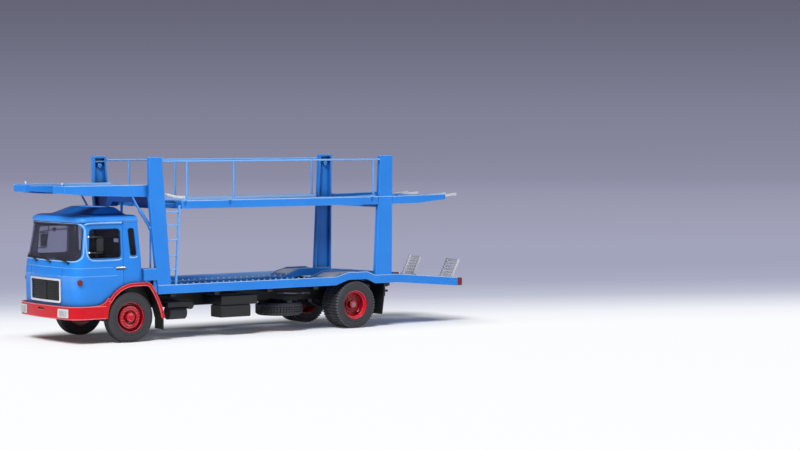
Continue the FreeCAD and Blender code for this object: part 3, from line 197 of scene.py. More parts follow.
flat_look = Vector((look.x, look.y, 0)).normalized()
flat_side = Vector((-flat_look.y, flat_look.x, 0))
bend_start = BACKDROP_AWAY - BACKDROP_BEND
profile = [(FLOOR_NEAR, 0), (bend_start, 0)]
for step in range(1, BEND_STEPS + 1):
    turn = math.radians(90 * step / BEND_STEPS)
    profile.append((bend_start + BACKDROP_BEND * math.sin(turn),
                    BACKDROP_BEND - BACKDROP_BEND * math.cos(turn)))
profile.append((BACKDROP_AWAY, BACKDROP_HIGH))
sheet = bmesh.new()
line = [sheet.verts.new((away, -FLOOR_SIDE, high)) for away, high in profile]
edges = [sheet.edges.new(pair) for pair in zip(line, line[1:])]
swept = bmesh.ops.extrude_edge_only(sheet, edges=edges)
moved = [item for item in swept["geom"] if isinstance(item, bmesh.types.BMVert)]
bmesh.ops.translate(sheet, verts=moved, vec=(0, 2 * FLOOR_SIDE, 0))
floor_turn = Matrix(((flat_look.x, flat_side.x, 0, 0), (flat_look.y, flat_side.y, 0, 0),
                     (0, 0, 1, 0), (0, 0, 0, 1)))
bmesh.ops.transform(sheet, matrix=floor_turn, verts=sheet.verts)
bmesh.ops.recalc_face_normals(sheet, faces=sheet.faces)
floor_mesh = bpy.data.meshes.new("studio_floor")
sheet.to_mesh(floor_mesh)
sheet.free()
for face in floor_mesh.polygons:
    face.use_smooth = True
studio_floor = show("studio_floor", floor_mesh)
print("floor and backdrop in", len(floor_mesh.polygons), "faces")

# %% [markdown]
# In the picture the table is white in front and turns grey-violet behind the model. Near the model
# the sheet is plain matt paper that takes the truck's shadow. Farther off it shows its own tone to
# the camera and to shiny parts, so that the backdrop keeps its grey whatever the lamps do. The tone
# follows the distance behind the model, and on the backdrop its height. Round the truck the table
# is overexposed, so just outside its outline the paper glows more and more white, a painted pool of
# light round the truck's shadow. All places are in metres.

# %% Backdrop paper
PAPER_AWAY = 3.0
PAPER_HIGH = 0.4
PAPER_SLANT = 0.22
FAR_START, FAR_FULL = 0.02, 0.3
GLARE_INSET = Vector((0.01, 0.005, cad_high.z))
GLARE_WIDE = 0.032
GLARE_LEAST, GLARE_MOST = 0.04, 0.97
FLOOR_TONES = ((0.0, "FCFDFF"), (0.07, "F2F4FA"), (0.13, "DCDEE9"), (0.2, "BFC2D3"),
               (0.32, "A9ABC2"), (0.5, "A2A4BC"), (0.8, "A2A4BB"), (1.3, "9E9EB5"),
               (2.1, "9898AF"), (PAPER_AWAY, "9292AB"))
WALL_TONES = ((0.0, "FFFFFF"), (0.015, "F4F4F4"), (0.065, "EAEAEA"), (0.16, "DCDCDC"),
              (0.26, "C6C6C6"), (PAPER_HIGH, "A6A6A6"))

paper, tree = new_material("backdrop paper, matt")
place = object_place(tree)
slant = flat_look + flat_side * PAPER_SLANT
away = add(tree, "VectorMath", {"operation": "DOT_PRODUCT", 1: slant}, {0: place})
run = add(tree, "MapRange", {"From Max": PAPER_AWAY}, {"Value": away.outputs["Value"]})
floor_tone = add(tree, "ValToRGB",
                 {"stops": [(metres / PAPER_AWAY, tone) for metres, tone in FLOOR_TONES]},
                 {"Fac": run.outputs["Result"]})
height = add(tree, "SeparateXYZ", links={"Vector": place})
rise = add(tree, "MapRange", {"From Max": PAPER_HIGH}, {"Value": height.outputs["Z"]})
wall_tone = add(tree, "ValToRGB",
                {"stops": [(metres / PAPER_HIGH, tone) for metres, tone in WALL_TONES]},
                {"Fac": rise.outputs["Result"]})
both = add(tree, "Mix", {"data_type": "RGBA", "blend_type": "MULTIPLY", "Factor": 1.0},
           {6: floor_tone.outputs["Color"], 7: wall_tone.outputs["Color"]})
matt = add(tree, "BsdfPrincipled", {"Roughness": 0.9, "Specular IOR Level": 0.1},
           {"Base Color": both.outputs[2]})
shown = add(tree, "Emission", {"Strength": 1.0}, {"Color": both.outputs[2]})
ray = add(tree, "LightPath")
seen = add(tree, "Math", {"operation": "MAXIMUM"},
           {0: ray.outputs["Is Camera Ray"], 1: ray.outputs["Is Glossy Ray"]})
seen_through = add(tree, "Math", {"operation": "MAXIMUM"},
                   {0: seen.outputs["Value"], 1: ray.outputs["Is Transmission Ray"]})
far = add(tree, "MapRange", {"From Min": FAR_START, "From Max": FAR_FULL},
          {"Value": away.outputs["Value"]})
from_middle = add(tree, "VectorMath", {"operation": "ABSOLUTE"}, {0: place})
past_edge = add(tree, "VectorMath", {"operation": "SUBTRACT", 1: cad_high - GLARE_INSET},
                {0: from_middle.outputs["Vector"]})
outside = add(tree, "VectorMath", {"operation": "MAXIMUM", 1: (0, 0, 0)},
              {0: past_edge.outputs["Vector"]})
beyond = add(tree, "VectorMath", {"operation": "LENGTH"}, {0: outside.outputs["Vector"]})
# Painted light: just outside the truck's outline the paper glows white.
glare = add(tree, "MapRange",
            {"From Max": GLARE_WIDE, "To Min": GLARE_LEAST, "To Max": GLARE_MOST},
            {"Value": beyond.outputs["Value"]})
brighter = add(tree, "Math", {"operation": "MAXIMUM"},
               {0: far.outputs["Result"], 1: glare.outputs["Result"]})
share = add(tree, "Math", {"operation": "MULTIPLY"},
            {0: seen_through.outputs["Value"], 1: brighter.outputs["Value"]})
mixed = add(tree, "MixShader", links={"Fac": share.outputs["Value"], 1: matt.outputs["BSDF"],
                                      2: shown.outputs["Emission"]})
add(tree, "OutputMaterial", links={"Surface": mixed.outputs["Shader"]})
studio_floor.data.materials.append(paper)
print("paper with", len(FLOOR_TONES), "tones along the floor and", len(WALL_TONES), "up the wall")

# %% [markdown]
# A softbox high in front of the truck on the camera's side lights the cab's front and the beams'
# outer faces. It stands so high that the decks shade what is under them: the far posts are deep
# blue below the upper deck and bright above it. A second one lights the rear half from the camera's
# side. The room adds a fill that comes from the sides more than from above. Together they come to
# about the level at which a colour shows as it is written.

# %% Light
FILL_LEVEL = 0.13
FILL_OVERHEAD = 0.03
OVERHEAD_FROM = 0.75


def softbox(name, place, target, size, power):
    """A square area lamp that faces a point. Its size is in metres and its power in watts."""
    data = bpy.data.lights.new(name, "AREA")
    data.shape = "SQUARE"
    data.size = size
    data.energy = power
    point_at(show(name, data), place, Vector(target) - Vector(place))


softbox("high_front_softbox", place=(0.82, 0.6, 1.2), target=(0, 0, 0.04), size=0.55, power=25.0)
softbox("rear_softbox", place=(-0.55, 0.95, 0.4), target=(-0.08, 0, 0.04), size=0.4, power=1.6)
world = bpy.data.worlds.new("studio")
world.use_nodes = True
background = world.node_tree.nodes["Background"]
background.inputs["Color"].default_value = srgb("EEF2FC")
room = add(world.node_tree, "TexCoord")
upward = add(world.node_tree, "SeparateXYZ", links={"Vector": room.outputs["Generated"]})
fill = add(world.node_tree, "MapRange",
           {"From Max": OVERHEAD_FROM, "To Min": FILL_LEVEL, "To Max": FILL_OVERHEAD},
           {"Value": upward.outputs["Z"]})
world.node_tree.links.new(fill.outputs["Result"], background.inputs["Strength"])
bpy.context.scene.world = world
print(len(bpy.data.lights), "softboxes and a fill of", FILL_LEVEL, "from the sides")

# %% [markdown]
# ## Finishes
# Die-cast parts are sprayed with a glossy enamel. It flows out to a smooth coat with a very faint
# ripple. It runs down a little before it dries, so it is thinner and paler along the edges. The
# upper edges are made much paler still, as a painted highlight. A Bevel node finds those edges: near
# one, its rounded normal turns away from the face's own. Faces that look up are painted in a deeper
# tone, as painted shade. Corners and channels are painted darker too, as painted shade, where an
# Ambient Occlusion node finds them closed in. A clear coat gives a sharp highlight over a softer one.
#
# Widths and depths below are in millimetres. A pair tells where an effect starts and where it is
# full: how far a face looks up, how far the rounded normal has turned, how much of that is upward,
# and how open a corner is.

# %% Sprayed enamel
EDGE_WEAR_AND_HIGHLIGHT = 0.5
CORNER_SHADE_REACH = 6.0
CLOUDS_PER_MM = 0.06
RIPPLES_PER_MM = 0.9
RELIEF = 0.1
TOP_SHADE_FROM, TOP_SHADE_FULL = 0.8, 0.97
EDGE_FROM, EDGE_FULL, EDGE_PALE = 0.99, 0.8, 0.18
UPPER_FROM, UPPER_FULL, UPPER_HIGHLIGHT = 0.03, 0.2, 0.9
CLOSED, OPEN = 0.2, 0.9


def shade_in_corners(tree, colour, darkest):
    """The colour, darkened as painted shade where a place is closed in."""
    closed_in = add(tree, "AmbientOcclusion", {"samples": 6, "Distance": CORNER_SHADE_REACH * MM})
    depth = add(tree, "MapRange", {"From Min": CLOSED, "From Max": OPEN, "To Min": darkest},
                {"Value": closed_in.outputs["AO"]})
    deeper = add(tree, "Mix", {"data_type": "RGBA", "blend_type": "MULTIPLY", "Factor": 1.0},
                 {6: colour, 7: depth.outputs["Result"]})
    return deeper.outputs[2]


def enamel(name, tone, deeper, edge, level, roughness=0.28, coat=0.15, edge_width=EDGE_WEAR_AND_HIGHLIGHT,
           corner=0.16):
    """Glossy sprayed enamel: two close tones in soft clouds, worn pale edges with a painted highlight on the upper
    ones, painted shade on level faces and in corners, and a faint orange peel.
    """
    material, tree = new_material(name)
    place = object_place(tree)
    clouds = add(tree, "TexNoise", {"Scale": CLOUDS_PER_MM / MM, "Detail": 2.0}, {"Vector": place})
    blend = add(tree, "ValToRGB", {"stops": ((0.35, deeper), (0.65, tone))},
                {"Fac": clouds.outputs["Fac"]})
    # Painted shade: faces that look up are mixed towards the deeper level tone.
    way = add(tree, "NewGeometry")
    lie = add(tree, "SeparateXYZ", links={"Vector": way.outputs["Normal"]})
    upward = add(tree, "MapRange", {"From Min": TOP_SHADE_FROM, "From Max": TOP_SHADE_FULL},
                 {"Value": lie.outputs["Z"]})
    thick = add(tree, "Mix", {"data_type": "RGBA", 7: srgb(level)},
                {"Factor": upward.outputs["Result"], 6: blend.outputs["Color"]})
    rounded = add(tree, "Bevel", {"samples": 4, "Radius": edge_width * MM})
    two_ways = {0: rounded.outputs["Normal"], 1: way.outputs["True Normal"]}
    turned = add(tree, "VectorMath", {"operation": "DOT_PRODUCT"}, two_ways)
    thin = add(tree, "MapRange",
               {"From Min": EDGE_FROM, "From Max": EDGE_FULL, "To Max": EDGE_PALE},
               {"Value": turned.outputs["Value"]})
    upturn = add(tree, "VectorMath", {"operation": "SUBTRACT"}, two_ways)
    lift = add(tree, "SeparateXYZ", links={"Vector": upturn.outputs["Vector"]})
    # Painted highlight: where the rounded normal turns upward, the edge tone is mixed in strongly.
    upper = add(tree, "MapRange",
                {"From Min": UPPER_FROM, "From Max": UPPER_FULL, "To Max": UPPER_HIGHLIGHT},
                {"Value": lift.outputs["Z"]})
    # The edge tone stands for wear on every edge and a painted highlight on the upper ones.
    wear_and_highlight = add(tree, "Math", {"operation": "MAXIMUM"},
                 {0: thin.outputs["Result"], 1: upper.outputs["Result"]})
    worn = add(tree, "Mix", {"data_type": "RGBA", 7: srgb(edge)},
               {"Factor": wear_and_highlight.outputs["Value"], 6: thick.outputs[2]})
    peel = add(tree, "TexNoise", {"Scale": RIPPLES_PER_MM / MM, "Detail": 1.0}, {"Vector": place})
    bump = add(tree, "Bump", {"Strength": 0.05, "Distance": RELIEF * MM},
               {"Height": peel.outputs["Fac"]})
    gloss = add(tree, "BsdfPrincipled", {"Roughness": roughness, "Specular IOR Level": 0.2,
                                         "Coat Weight": coat, "Coat Roughness": 0.06},
                {"Base Color": shade_in_corners(tree, worn.outputs[2], corner),
                 "Normal": bump.outputs["Normal"]})
    add(tree, "OutputMaterial", links={"Surface": gloss.outputs["BSDF"]})
    return material


# Each enamel's fourth tone is for its edges: wear on all of them, and a painted highlight on the upper ones. Its
# fifth is the painted shade of faces that look up.
blue_enamel = enamel("blue sprayed enamel on zinc", "2B8BEC", "2685E6", "A4D0FF", "083E82")
# A darker blue for the seams' dark joints, also used as painted shade on the rail brackets.
groove_and_shade_enamel = enamel("blue sprayed enamel, darker in grooves and painted shade",
                       "2070C8", "1C68BE", "2A7CD8", "0E4A90")
# Painted shade: a darker blue for parts in the shade under the upper deck.
cross_shade_enamel = enamel("blue enamel, painted shade under a deck",
                      "0F4FA8", "0D4799", "2468BE", "083E82")
# Painted highlights: the paler blues below are for lit ridges, sills, pips and edges.
ridge_highlight_enamel = enamel("blue enamel, painted highlight on ridges",
                      "62AAF8", "58A2F4", "A8D4FF", "62AAF8")
sill_highlight_enamel = enamel("blue enamel, painted highlight on sills", "80BAFC", "78B4FA", "C0DCFF", "80BAFC")
pip_highlight_enamel = enamel("blue enamel, painted highlight on pips and edges",
                    "9CCAFF", "90C2FF", "DCECFF", "9CCAFF")
red_enamel = enamel("red sprayed enamel on zinc", "D4051C", "C60418", "FF8C94", "7C1E1C")
# Painted highlight: a paler red for the lit lips.
red_ridge_highlight_enamel = enamel("red enamel, painted highlight on lips",
                          "EE5A5E", "E64A50", "FFB0B0", "EE5A5E")
wheel_enamel = enamel("red moulded wheel, gloss", "D8122E", "C60C26", "FF9CA4", "C00C24",
                      roughness=0.24, coat=0.25, edge_width=0.3, corner=0.07)
print(len(bpy.data.materials) - 1, "enamels")

# %% [markdown]
# Chassis, tanks and linings are moulded in black plastic with a fine matt grain. The tyres are soft
# rubber, greyer and duller, and the interior is a dark plastic. The lamps' lenses are moulded too:
# white and dark red. Each of them is darkened in corners as painted shade.

# %% Moulded plastics and rubber
GRAIN_SHARE = 0.25
PLASTIC_CORNER_SHADE = 0.35


def moulded(name, tone, roughness, grain=2.5):
    """Moulded plastic or rubber, with so many fine grains to a millimetre, darkened in corners as painted shade.
    """
    material, tree = new_material(name)
    speck = add(tree, "TexNoise", {"Scale": grain / MM, "Detail": 2.0},
                {"Vector": object_place(tree)})
    shade = add(tree, "Mix", {"data_type": "RGBA", "blend_type": "MULTIPLY",
                              "Factor": GRAIN_SHARE, 6: srgb(tone)}, {7: speck.outputs["Color"]})
    bump = add(tree, "Bump", {"Strength": 0.12, "Distance": RELIEF * MM},
               {"Height": speck.outputs["Fac"]})
    plastic = add(tree, "BsdfPrincipled", {"Roughness": roughness},
                  {"Base Color": shade_in_corners(tree, shade.outputs[2], PLASTIC_CORNER_SHADE),
                   "Normal": bump.outputs["Normal"]})
    add(tree, "OutputMaterial", links={"Surface": plastic.outputs["BSDF"]})
    return material


black_plastic = moulded("black moulded plastic, fine grain", "1B1B1F", 0.45)
trim_plastic = moulded("black moulded trim, satin", "111114", 0.35)
tyre_rubber = moulded("soft moulded tyre rubber", "38383F", 0.62, grain=3.0)
# Painted highlight: a greyer rubber for the lit lugs.
lug_highlight_rubber = moulded("tyre rubber, painted grey highlight on the lugs", "5C5C66", 0.6, grain=3.0)
flap_rubber = moulded("black sheet plastic", "161619", 0.5)
cabin_plastic = moulded("dark cabin plastic", "5E5E78", 0.55)
seat_plastic = moulded("black seat plastic", "16161A", 0.6)
headlamp_glass = moulded("white headlamp lens", "E8E8EC", 0.2)
red_lens = moulded("dark red lamp lens", "7A0E12", 0.2)
print(len(bpy.data.materials), "finishes with the plastics")

# %% [markdown]
# Bare metal parts of such a model are tinplate or plated: the loading flaps, the tread plates, the
# grille's frame and the chain. Plated parts are bright, and pressed plates are duller.

# %% Bare and plated metal
SHEEN_PER_MM = 4.0


def bare_metal(name, tone, roughness, metallic=1.0):
    """Bare or plated metal with a fine uneven sheen."""
    material, tree = new_material(name)
    speck = add(tree, "TexNoise", {"Scale": SHEEN_PER_MM / MM, "Detail": 2.0},
                {"Vector": object_place(tree)})
    dull = add(tree, "MapRange", {"To Min": roughness * 0.8, "To Max": roughness * 1.25},
               {"Value": speck.outputs["Fac"]})
    metal = add(tree, "BsdfPrincipled", {"Base Color": srgb(tone), "Metallic": metallic},
                {"Roughness": dull.outputs["Result"]})
    add(tree, "OutputMaterial", links={"Surface": metal.outputs["BSDF"]})
    return material


plated = bare_metal("bright plating", "F6F6FA", 0.22, metallic=0.75)
# Painted highlight: the chain is plated white, so that it shows as bright as its glints.
chain_highlight_plating = bare_metal("bright plating, painted white highlight", "FFFFFF", 0.3, metallic=0.35)
dull_plate = bare_metal("pressed tread plate, dulled", "A2A6B2", 0.55, metallic=0.4)
pressed_plate = bare_metal("pressed tread plate", "D4D5DC", 0.42, metallic=0.5)
steel_pin = bare_metal("drawn steel wire", "8C8A90", 0.35)
print(len(bpy.data.materials), "finishes with the metals")

# %% [markdown]
# The glazing is one clear moulding, thin and slightly grey. It is so thin that it hardly bends the
# light. A faint pale share over it is a painted reflection, stronger on the windscreen.

# %% Glazing
THIN_PANE_IOR = 1.1


def clear_plastic(name, reflection_share):
    """Thin clear moulding with a share of pale painted reflection over it."""
    material, tree = new_material(name)
    clear = add(tree, "BsdfPrincipled", {"Base Color": srgb("D2D3DE"), "Roughness": 0.03,
                                         "Transmission Weight": 1.0, "IOR": THIN_PANE_IOR})
    pale_reflection = add(tree, "BsdfDiffuse", {"Color": srgb("C4C6E4"), "Roughness": 0.5})
    mixed = add(tree, "MixShader", {"Fac": reflection_share},
                {1: clear.outputs["BSDF"], 2: pale_reflection.outputs["BSDF"]})
    add(tree, "OutputMaterial", links={"Surface": mixed.outputs["Shader"]})
    return material


glazing = clear_plastic("clear glazing moulding", 0.014)
screen_glazing = clear_plastic("clear windscreen moulding, more painted reflection", 0.042)
print(len(bpy.data.materials), "finishes with the glazing")

# %% [markdown]
# A CAD piece takes the finish of its material slot. A few have one of their own: the beams under
# the front deck take a darker blue as painted shade. Thin rods take a paler blue as a painted highlight.

# %% Finishes on the CAD pieces
FINISHES = {
    "blue_paint": blue_enamel, "red_paint": red_enamel, "red_wheel_paint": wheel_enamel,
    "black_chassis_plastic": black_plastic, "tyre_rubber": tyre_rubber, "clear_glazing": glazing,
    "bare_aluminium": pressed_plate, "steel_pin": steel_pin, "chrome_trim": plated,
    "chain_chrome": chain_highlight_plating, "grille_black": trim_plastic, "lamp_white": headlamp_glass,
    "lamp_red": red_lens, "flap_rubber": flap_rubber, "interior_plastic": cabin_plastic,
    "seat_plastic": seat_plastic,
}
PALE_LIT_RODS = ("handrail", "ladder")
OWN_FINISH = {"hump_plates": dull_plate, "windscreen": screen_glazing,
              "front_deck_beams": cross_shade_enamel}
slot_of = {part["node"]: part["material_slot"] for part in frame["record"]["subparts"]}
body_of = {member: body for body, members in frame["record"]["behaviour"]["bodies"].items()
           for member in members}


def finish_of(node):
    """The finish for a node: a thin rod's painted highlight, its own, or its slot's."""
    if node.startswith(PALE_LIT_RODS):
        return ridge_highlight_enamel
    return OWN_FINISH.get(node) or FINISHES[slot_of[node]]


for name, piece in nodes.items():
    piece.data.materials.clear()
    piece.data.materials.append(finish_of(name))
print(len(nodes), "CAD pieces finished")

# %% [markdown]
# New pieces are drawn in millimetres from the front axle, like the castings. One function brings a
# finished shape into the frame and gives it its finish and its body. Another joins several shapes,
# so that all pips or all seals are one piece.

# %% Making a piece
TO_FRAME = Matrix.Translation(at(0, 0, 0)) @ Matrix.Scale(MM, 4)
FROM_FRAME = TO_FRAME.inverted()


def settle(name, shape, finish, body="root", stands_for=(), sharp=35):
    """Bring a shape into the frame as a finished piece that rides on a body."""
    bmesh.ops.transform(shape, matrix=TO_FRAME, verts=shape.verts)
    mesh = bpy.data.meshes.new(name)
    shape.to_mesh(mesh)
    shape.free()
    for face in mesh.polygons:
        face.use_smooth = True
    mesh.set_sharp_from_angle(angle=math.radians(sharp))
    mesh.materials.append(finish)
    piece = show(name, mesh)
    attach(piece, body)
    if stands_for:
        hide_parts(*stands_for)
    return piece


def gather(shapes):
    """Several shapes as one."""
    whole = bmesh.new()
    for shape in shapes:
        carrier = bpy.data.meshes.new("carrier")
        shape.to_mesh(carrier)
        whole.from_mesh(carrier)
        bpy.data.meshes.remove(carrier)
        shape.free()
    return whole


print("a millimetre is", TO_FRAME.to_scale().x, "m in the frame")

# %% [markdown]
# A few shapes come back often: a rounded block, a rod, and a round bead along a line. The bead is a
# curve with a round bevel, made a mesh at once. A CAD casting is loose triangles, so a copy of it
# has its points merged before anything is read from it.

# %% Shapes that come back
ROD_ROUNDING = 0.25
BEAD_MERGE = 0.02
CASTING_MERGE = 0.002


def rounded(shape, edges, width):
    """A shape with some of its edges rounded."""
    bmesh.ops.bevel(shape, geom=edges, offset=width, offset_type="OFFSET", affect="EDGES",
                    segments=2, profile=0.5, material=-1)
    return shape


def block(low, high, rounding=0.1):
    """A block with rounded edges, from its lowest to its highest corner."""
    low, high = Vector(low), Vector(high)
    shape = bmesh.new()
    bmesh.ops.create_cube(shape, size=1.0)
    bmesh.ops.scale(shape, vec=high - low, verts=shape.verts)
    bmesh.ops.translate(shape, vec=(low + high) / 2, verts=shape.verts)
    return rounded(shape, shape.edges[:], rounding)


def rod(start, end, radius, tip=None, sides=16):
    """A round rod between two points, straight or tapered to a tip radius."""
    start, end = Vector(start), Vector(end)
    tip = tip or radius
    shape = bmesh.new()
    bmesh.ops.create_cone(shape, cap_ends=True, segments=sides, radius1=radius, radius2=tip,
                          depth=(end - start).length)
    turn = (end - start).to_track_quat("Z", "Y").to_matrix().to_4x4()
    bmesh.ops.transform(shape, matrix=Matrix.Translation((start + end) / 2) @ turn,
                        verts=shape.verts)
    caps = [edge for edge in shape.edges if len(edge.link_faces) == 2 and
            any(len(face.verts) > 4 for face in edge.link_faces)]
    return rounded(shape, caps, min(radius, tip) * ROD_ROUNDING)


def bead(points, radius, closed=False, around=2):
    """A round bead along a line of points."""
    line = bpy.data.curves.new("bead", "CURVE")
    line.dimensions = "3D"
    line.bevel_depth = radius
    line.bevel_resolution = around
    line.use_fill_caps = True
    run = line.splines.new("POLY")
    run.points.add(len(points) - 1)
    for knot, point in zip(run.points, points):
        knot.co = (*point, 1.0)
    run.use_cyclic_u = closed
    carrier = bpy.data.objects.new("bead", line)
    mesh = bpy.data.meshes.new_from_object(carrier)
    shape = bmesh.new()
    shape.from_mesh(mesh)
    bpy.data.objects.remove(carrier)
    bpy.data.curves.remove(line)
    bpy.data.meshes.remove(mesh)
    bmesh.ops.remove_doubles(shape, verts=shape.verts, dist=radius * BEAD_MERGE)
    return shape


def merged(node):
    """A copy of a node's mesh in millimetres from the front axle, its loose triangles joined."""
    shape = bmesh.new()
    shape.from_mesh(nodes[node].data)
    bmesh.ops.transform(shape, matrix=FROM_FRAME, verts=shape.verts)
    bmesh.ops.remove_doubles(shape, verts=shape.verts, dist=CASTING_MERGE)
    return shape


sample = merged("cab_shell")
print("the cab's casting has", len(sample.verts), "points once its triangles are joined")
sample.free()

# %% [markdown]
# A casting never has a knife edge: it is rounded where the mould's halves met, and the paint rounds
# it further. The CAD edges are sharp, so each painted casting is shown by a copy with rounded
# edges. Flat faces are first freed of their triangles, so that only real edges are left to round.
# The list goes by the width of the rounding in millimetres.

# %% Rounded castings
FLAT_ANGLE = math.radians(0.6)
EDGE_DEGREES = 33
CASTINGS = {
    0.28: ["front_post_left", "front_post_right", "rear_post_left", "rear_post_right",
           "post_boxes"],
    0.22: ["front_bumper", "lower_deck_left", "lower_deck_right", "upper_deck_left",
           "upper_deck_right", "front_deck_left", "front_deck_right", "fuel_tank", "side_lockers"],
    0.15: ["cab_shell", "front_deck_beams", "upper_deck_beams", "lower_deck_beams",
           "grille_frame", "chassis_frame", "deck_bearers", "mudflaps", "tow_coupling",
           "headlamps"],
}


def soften(node, width):
    """Show a copy of a node whose edges are rounded."""
    shape = merged(node)
    bmesh.ops.dissolve_limit(shape, angle_limit=FLAT_ANGLE, verts=shape.verts, edges=shape.edges)
    piece = settle(node + "_cast", shape, finish_of(node), body_of[node],
                   stands_for=[node], sharp=EDGE_DEGREES)
    rounding = piece.modifiers.new("rounded edges", "BEVEL")
    rounding.width = width * MM
    rounding.segments = 2
    rounding.limit_method = "ANGLE"
    rounding.angle_limit = math.radians(EDGE_DEGREES)
    rounding.harden_normals = True


for width, names in CASTINGS.items():
    for name in names:
        soften(name, width)
print(sum(len(names) for names in CASTINGS.values()), "castings with rounded edges")

# %% [markdown]
# ## Tyres
# The tyres are soft mouldings that are pushed over the wheels. Their outline is spun round the
# axle. The front ones have level ribs round the tread, and the rear ones and the spare have
# blocks, which come from the tread's own faces: each is inset and raised, and what is left between
# them is the groove. On an outer side the tyre's bead folds over the wheel's rim.

# %% A tyre
TREAD = reach("front_tyre_left")[1].z - WHEEL_Z
TYRE_HALF = (reach("front_tyre_left")[1].y - reach("front_tyre_left")[0].y) / 2
BORE = reach("front_rim_left")[1].z - WHEEL_Z
BLOCK_HIGH = 0.45
BLOCK_GAP = 0.2
BLOCKS = 48
RIBBED_STEPS = 96


def tyre_side(sign, folded):
    """One sidewall's outline from the bore to the shoulder, as (y, radius)."""
    half = TYRE_HALF
    side = [(half - 0.75, BORE), (half - 0.72, BORE - 0.35), (half - 0.5, BORE - 0.55),
            (half - 0.22, BORE - 0.42), (half - 0.08, BORE - 0.05)]
    if not folded:
        side = [(half - 0.45, BORE)]
    side += [(half - 0.04, BORE + 0.42), (half - 0.12, BORE + 0.62), (half - 0.26, BORE + 0.74),
             (half - 0.05, BORE + 1.3), (half, BORE + 1.9), (half - 0.04, BORE + 2.4),
             (half - 0.16, BORE + 2.75), (half - 0.13, BORE + 2.9), (half - 0.3, BORE + 3.1),
             (half - 0.55, TREAD - 0.62)]
    return [(sign * y, radius) for y, radius in side]


def spun(profile, steps):
    """Spin a closed outline of (y, radius) points once round the Y axis."""
    shape = bmesh.new()
    line = [shape.verts.new((0, y, radius)) for y, radius in profile]
    edges = [shape.edges.new(pair) for pair in zip(line, line[1:] + line[:1])]
    bmesh.ops.spin(shape, geom=line + edges, cent=(0, 0, 0), axis=(0, 1, 0), angle=2 * math.pi,
                   steps=steps, use_merge=True)
    bmesh.ops.remove_doubles(shape, verts=shape.verts, dist=0.0005)
    bmesh.ops.recalc_face_normals(shape, faces=shape.faces)
    return shape


def moved_to(shape, centre):
    """A shape brought from the origin to its place."""
    bmesh.ops.translate(shape, vec=centre, verts=shape.verts)
    return shape


def tyre(centre, blocks, folded=(1, -1)):
    """A tyre about an axle along Y, with blocks round its tread or level ribs, and folded beads."""
    half = TYRE_HALF
    if blocks:
        base = TREAD - BLOCK_HIGH
        crown = [(half - 0.72, TREAD - 0.42)]
        crown += [(half - 0.9 - step * (2 * half - 1.8) / 4, base) for step in range(5)]
        crown += [(0.72 - half, TREAD - 0.42)]
    else:
        crown = [(half - 0.62, TREAD - 0.3), (half - 0.85, TREAD)]
        for groove in (1.15, 0.0, -1.15):
            crown += [(groove + 0.2, TREAD), (groove + 0.12, TREAD - 0.28),
                      (groove - 0.12, TREAD - 0.28), (groove - 0.2, TREAD)]
        crown += [(0.85 - half, TREAD), (0.62 - half, TREAD - 0.3)]
    outline = tyre_side(1, 1 in folded) + crown + tyre_side(-1, -1 in folded)[::-1]
    shape = spun(outline, blocks or RIBBED_STEPS)
    if blocks:
        raised = []
        for face in shape.faces:
            middle = face.calc_center_median()
            if math.hypot(middle.x, middle.z) > base - 0.1 and abs(middle.y) < half - 0.85:
                raised.append(face)
        bmesh.ops.inset_individual(shape, faces=raised, thickness=BLOCK_GAP,
                                   depth=BLOCK_HIGH - 0.02, use_even_offset=True)
    return moved_to(shape, centre)


print("tyres of radius", round(TREAD, 2), "mm with a bore of", round(BORE, 2), "mm")

# %% [markdown]
# The blocks of a rear tyre reach over its shoulder as lugs, in a greyer rubber that is a painted
# highlight. Seen from the side they are the only part of the tread that shows, so each lug is a small
# block of its own.

# %% Lugs on the shoulders
LUG_HALF_LONG = 0.45
LUG_HALF_WIDE = 0.34
LUG_LOW, LUG_HIGH = TREAD - 0.95, TREAD - 0.04
LUG_ROUNDING = 0.12


def shoulder_lugs(centre, side):
    """A ring of lugs round one shoulder of a tyre, in line with its tread blocks."""
    across = side * (TYRE_HALF - 0.68)
    lugs = []
    for step in range(BLOCKS):
        lug = block((-LUG_HALF_LONG, across - LUG_HALF_WIDE, LUG_LOW),
                    (LUG_HALF_LONG, across + LUG_HALF_WIDE, LUG_HIGH), LUG_ROUNDING)
        turn = Matrix.Rotation(2 * math.pi * (step + 0.5) / BLOCKS, 3, "Y")
        bmesh.ops.rotate(lug, cent=(0, 0, 0), matrix=turn, verts=lug.verts)
        lugs.append(moved_to(lug, centre))
    return gather(lugs)


print("each shoulder of a rear tyre gets", BLOCKS, "lugs")

# %% [markdown]
# A tyre is made about the origin's Y axis and brought to its wheel, whose middle is read from the
# CAD. The rear ones stand in twins, each with its folded bead outward. The spare lies flat.

# %% Tyres in their places
SPARE_MIDDLE = sum(reach("spare_tyre"), Vector()) / 2
TWIN_STEP = (reach("rear_tyres_left")[1].y - reach("rear_tyres_left")[0].y) / 2 - TYRE_HALF


def axle_end(axle, node):
    """The middle of a wheel on an axle, where one of its nodes is."""
    low, high = reach(node)
    return Vector((axle, (low.y + high.y) / 2, WHEEL_Z))


def laid_flat(shape):
    """A spare wheel or tyre, laid on its side in its bracket."""
    bmesh.ops.rotate(shape, cent=(0, 0, 0), matrix=Matrix.Rotation(math.radians(-90), 3, "X"),
                     verts=shape.verts)
    return moved_to(shape, SPARE_MIDDLE)


